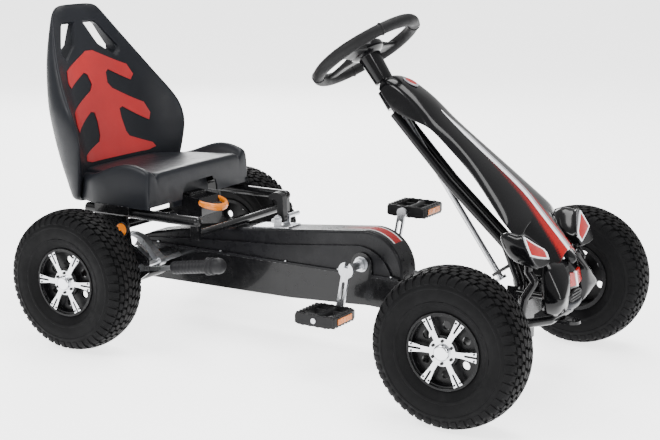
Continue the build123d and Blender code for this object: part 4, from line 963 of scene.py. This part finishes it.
# ---------------------------------------------------------------- pedals
def pedal_shapes():
    cage, amber = [], []
    cage.append(lathe([(5.9, -42), (9.5, -42), (11, -30), (9, -18),
                       (9, 18), (11, 30), (9.5, 42), (5.9, 42)], 28))
    for end in (-1, 1):
        outline = [(end * 33, -43), (end * 44, -43), (end * 46, -36),
                   (end * 46, 36), (end * 44, 43), (end * 33, 43)]
        cage.append(prism(outline, -9.5, 9.5))
        for k in range(7):
            y = -36 + 12 * k
            for up in (-1, 1):
                tooth = [(y - 4.4, up * 9.3), (y + 4.4, up * 9.3), (y + 2.6, up * 12.4), (y - 2.6, up * 12.4)]
                low, high = sorted((end * 35.5, end * 44.5))
                cage.append(prism(tooth, low, high, "x"))
        low, high = sorted((end * 45, end * 46.4))
        cage.append(prism([(-30, -7.6), (30, -7.6), (30, 7.6), (-30, 7.6)], low, high, "x"))
        low, high = sorted((end * 46.2, end * 47.6))
        amber.append(prism([(-27, -5.8), (27, -5.8), (27, 5.8), (-27, 5.8)], low, high, "x"))
        for half in (-1, 1):
            for rib in range(4):
                y = half * (6 + 6 * rib)
                low, high = sorted((end * 47.4, end * 48.1))
                rib = [(y - 1.1, -5.0), (y + 1.1, -5.0), (y + 1.1, 5.0), (y - 1.1, 5.0)]
                amber.append(prism(rib, low, high, "x"))
    for side in (-1, 1):
        outline = [(-36, -11.6), (36, -11.6), (44, -8), (44, 8), (36, 11.6), (-36, 11.6), (-44, 8), (-44, -8)]
        low, high = sorted((side * 39.5, side * 44.6))
        verts, faces = prism(outline, low, high, "y")
        cage.append((verts, faces))
        for x in (-26, -9, 9, 26):
            for up in (-1, 1):
                low, high = sorted((side * 39.8, side * 44.2))
                tooth = [(x - 4, up * 11.4), (x + 4, up * 11.4), (x + 2.2, up * 12.6), (x - 2.2, up * 12.6)]
                cage.append(prism(tooth, low, high, "y"))
    for y in (-21, 21):
        cage.append(box(-34, -8, y - 2, y + 2, -6, 6))
        cage.append(box(8, 34, y - 2, y + 2, -6, 6))
    return merge(*cage), merge(*amber)


(cage_verts, cage_faces), (amber_verts, amber_faces) = pedal_shapes()
for word in ("right", "left"):
    at = centre(f"pedal_{word}")
    cage = place(f"pedal_cage_{word}", cage_verts, cage_faces, f"pedal_{word}", "plastic", bevel=0.5, at=at)
    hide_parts(f"pedal_{word}")
    place(f"pedal_reflector_{word}", amber_verts, amber_faces, f"pedal_{word}", "amber", bevel=0.3, at=at)

# ---------------------------------------------------------------- brake grip
RISE = math.radians(9.5)
LEVER = Matrix(((math.cos(RISE), 0, -math.sin(RISE), -322), (0, 1, 0, -206),
                (math.sin(RISE), 0, math.cos(RISE), 160), (0, 0, 0, 1)))
profile = [(5.2, 109), (11.5, 109), (13.2, 111)]
for k in range(9):
    start = 116 + 8.6 * k
    profile += [(13.3, start), (13.9, start + 1.4), (13.9, start + 5.4), (13.3, start + 6.8)]
profile += [(13.2, 196), (15.5, 198), (18.6, 200), (18.6, 204), (16.4, 206), (16.4, 209),
            (18.2, 211), (18.2, 214), (15.4, 216), (16.2, 220), (17.0, 227), (15.6, 234),
            (11.5, 239.5), (6, 241.8), (0.1, 242.2), (0.1, 230), (5.2, 230)]
shape = lathe([(r, z) for r, z in profile], 44, "z")
to_lever = LEVER @ Matrix.Rotation(math.pi / 2, 4, "Y")
verts, faces = turned(shape, to_lever)
grip = place("brake_handle", verts, faces, "brake", "rubber", bevel=0.3)
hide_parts("brake_grip")

# ---------------------------------------------------------------- small pieces
for side in (-1, 1):
    word = "left" if side > 0 else "right"
    base = lathe([(0.1, 0), (15.5, 0), (16, 1), (16, 4), (14.6, 5.2), (0.1, 5.2)], 36)
    verts, faces = turned(base, Matrix.Diagonal((1, side, 1, 1)))
    place(f"reflector_base_{word}", verts, faces, "chassis", "plastic", at=(-372, side * 175, 236))
    dome = lathe([(0.1, 5.2), (13.4, 5.2), (13, 7.0), (8, 8.4), (0.1, 8.9)], 36)
    verts, faces = turned(dome, Matrix.Diagonal((1, side, 1, 1)))
    place(f"reflector_{word}", verts, faces, "chassis", "amber", at=(-372, side * 175, 236))

# ---------------------------------------------------------------- studio
def studio():
    floor_mesh = bpy.data.meshes.new("floor")
    floor_mesh.from_pydata([(-60, -60, 0), (60, -60, 0), (60, 60, 0), (-60, 60, 0)], [], [(0, 1, 2, 3)])
    floor = bpy.data.objects.new("floor", floor_mesh)
    bpy.context.scene.collection.objects.link(floor)
    floor.location.z = -0.0005
    shader = Shader("floor")
    tone = shader.mix(shader.spread(shader.noise(0.8), 0.3, 0.7), (0.86, 0.86, 0.865), (0.9, 0.9, 0.9))
    shader.put(tone, shader.bsdf.inputs["Base Color"])
    shader.bsdf.inputs["Roughness"].default_value = 0.55
    shader.bsdf.inputs["Specular IOR Level"].default_value = 0.1
    shader.bsdf.inputs["Emission Color"].default_value = (1.0, 1.0, 1.0, 1.0)
    shader.bsdf.inputs["Emission Strength"].default_value = 2.4
    floor_mesh.materials.append(shader.material)

    world = bpy.data.worlds.new("studio")
    bpy.context.scene.world = world
    world.use_nodes = True
    background = world.node_tree.nodes["Background"]
    background.inputs["Color"].default_value = (1.0, 1.0, 1.0, 1.0)
    background.inputs["Strength"].default_value = 0.8

    lamps = [  # place, aimed at, width, height, watts
        ((-1.6, -3.0, 3.4), (0, 0, 0.3), 2.2, 1.2, 150),
        ((3.2, -2.2, 1.9), (0.2, 0, 0.3), 0.4, 2.0, 60),
        ((0.4, 0.6, 4.2), (0, 0, 0), 4.2, 1.6, 220),
        ((-2.4, 2.8, 2.0), (0, 0, 0.3), 1.0, 2.0, 90),
    ]
    for number, (spot, target, wide, tall, watts) in enumerate(lamps):
        data = bpy.data.lights.new(f"softbox_{number}", "AREA")
        data.shape = "RECTANGLE"
        data.size, data.size_y, data.energy = wide, tall, watts
        lamp = bpy.data.objects.new(f"softbox_{number}", data)
        bpy.context.scene.collection.objects.link(lamp)
        lamp.location = spot
        lamp.rotation_euler = (Vector(target) - Vector(spot)).to_track_quat("-Z", "Y").to_euler()

    data = bpy.data.cameras.new("camera")
    data.lens = 79.13
    data.sensor_width = 36.0
    camera = bpy.data.objects.new("camera", data)
    bpy.context.scene.collection.objects.link(camera)
    right = Vector((0.8586, 0.5127, 0.0))
    back = Vector((0.5007, -0.8386, 0.2147)).normalized()
    up = back.cross(right).normalized()
    roll = math.radians(0.41)
    tilted_right = right * math.cos(roll) + up * math.sin(roll)
    tilted_up = up * math.cos(roll) - right * math.sin(roll)
    turn = Matrix((tilted_right, tilted_up, back)).transposed().to_4x4()
    camera.matrix_world = Matrix.Translation((1.5822, -2.5738, 0.9323)) @ turn
    bpy.context.scene.camera = camera


studio()
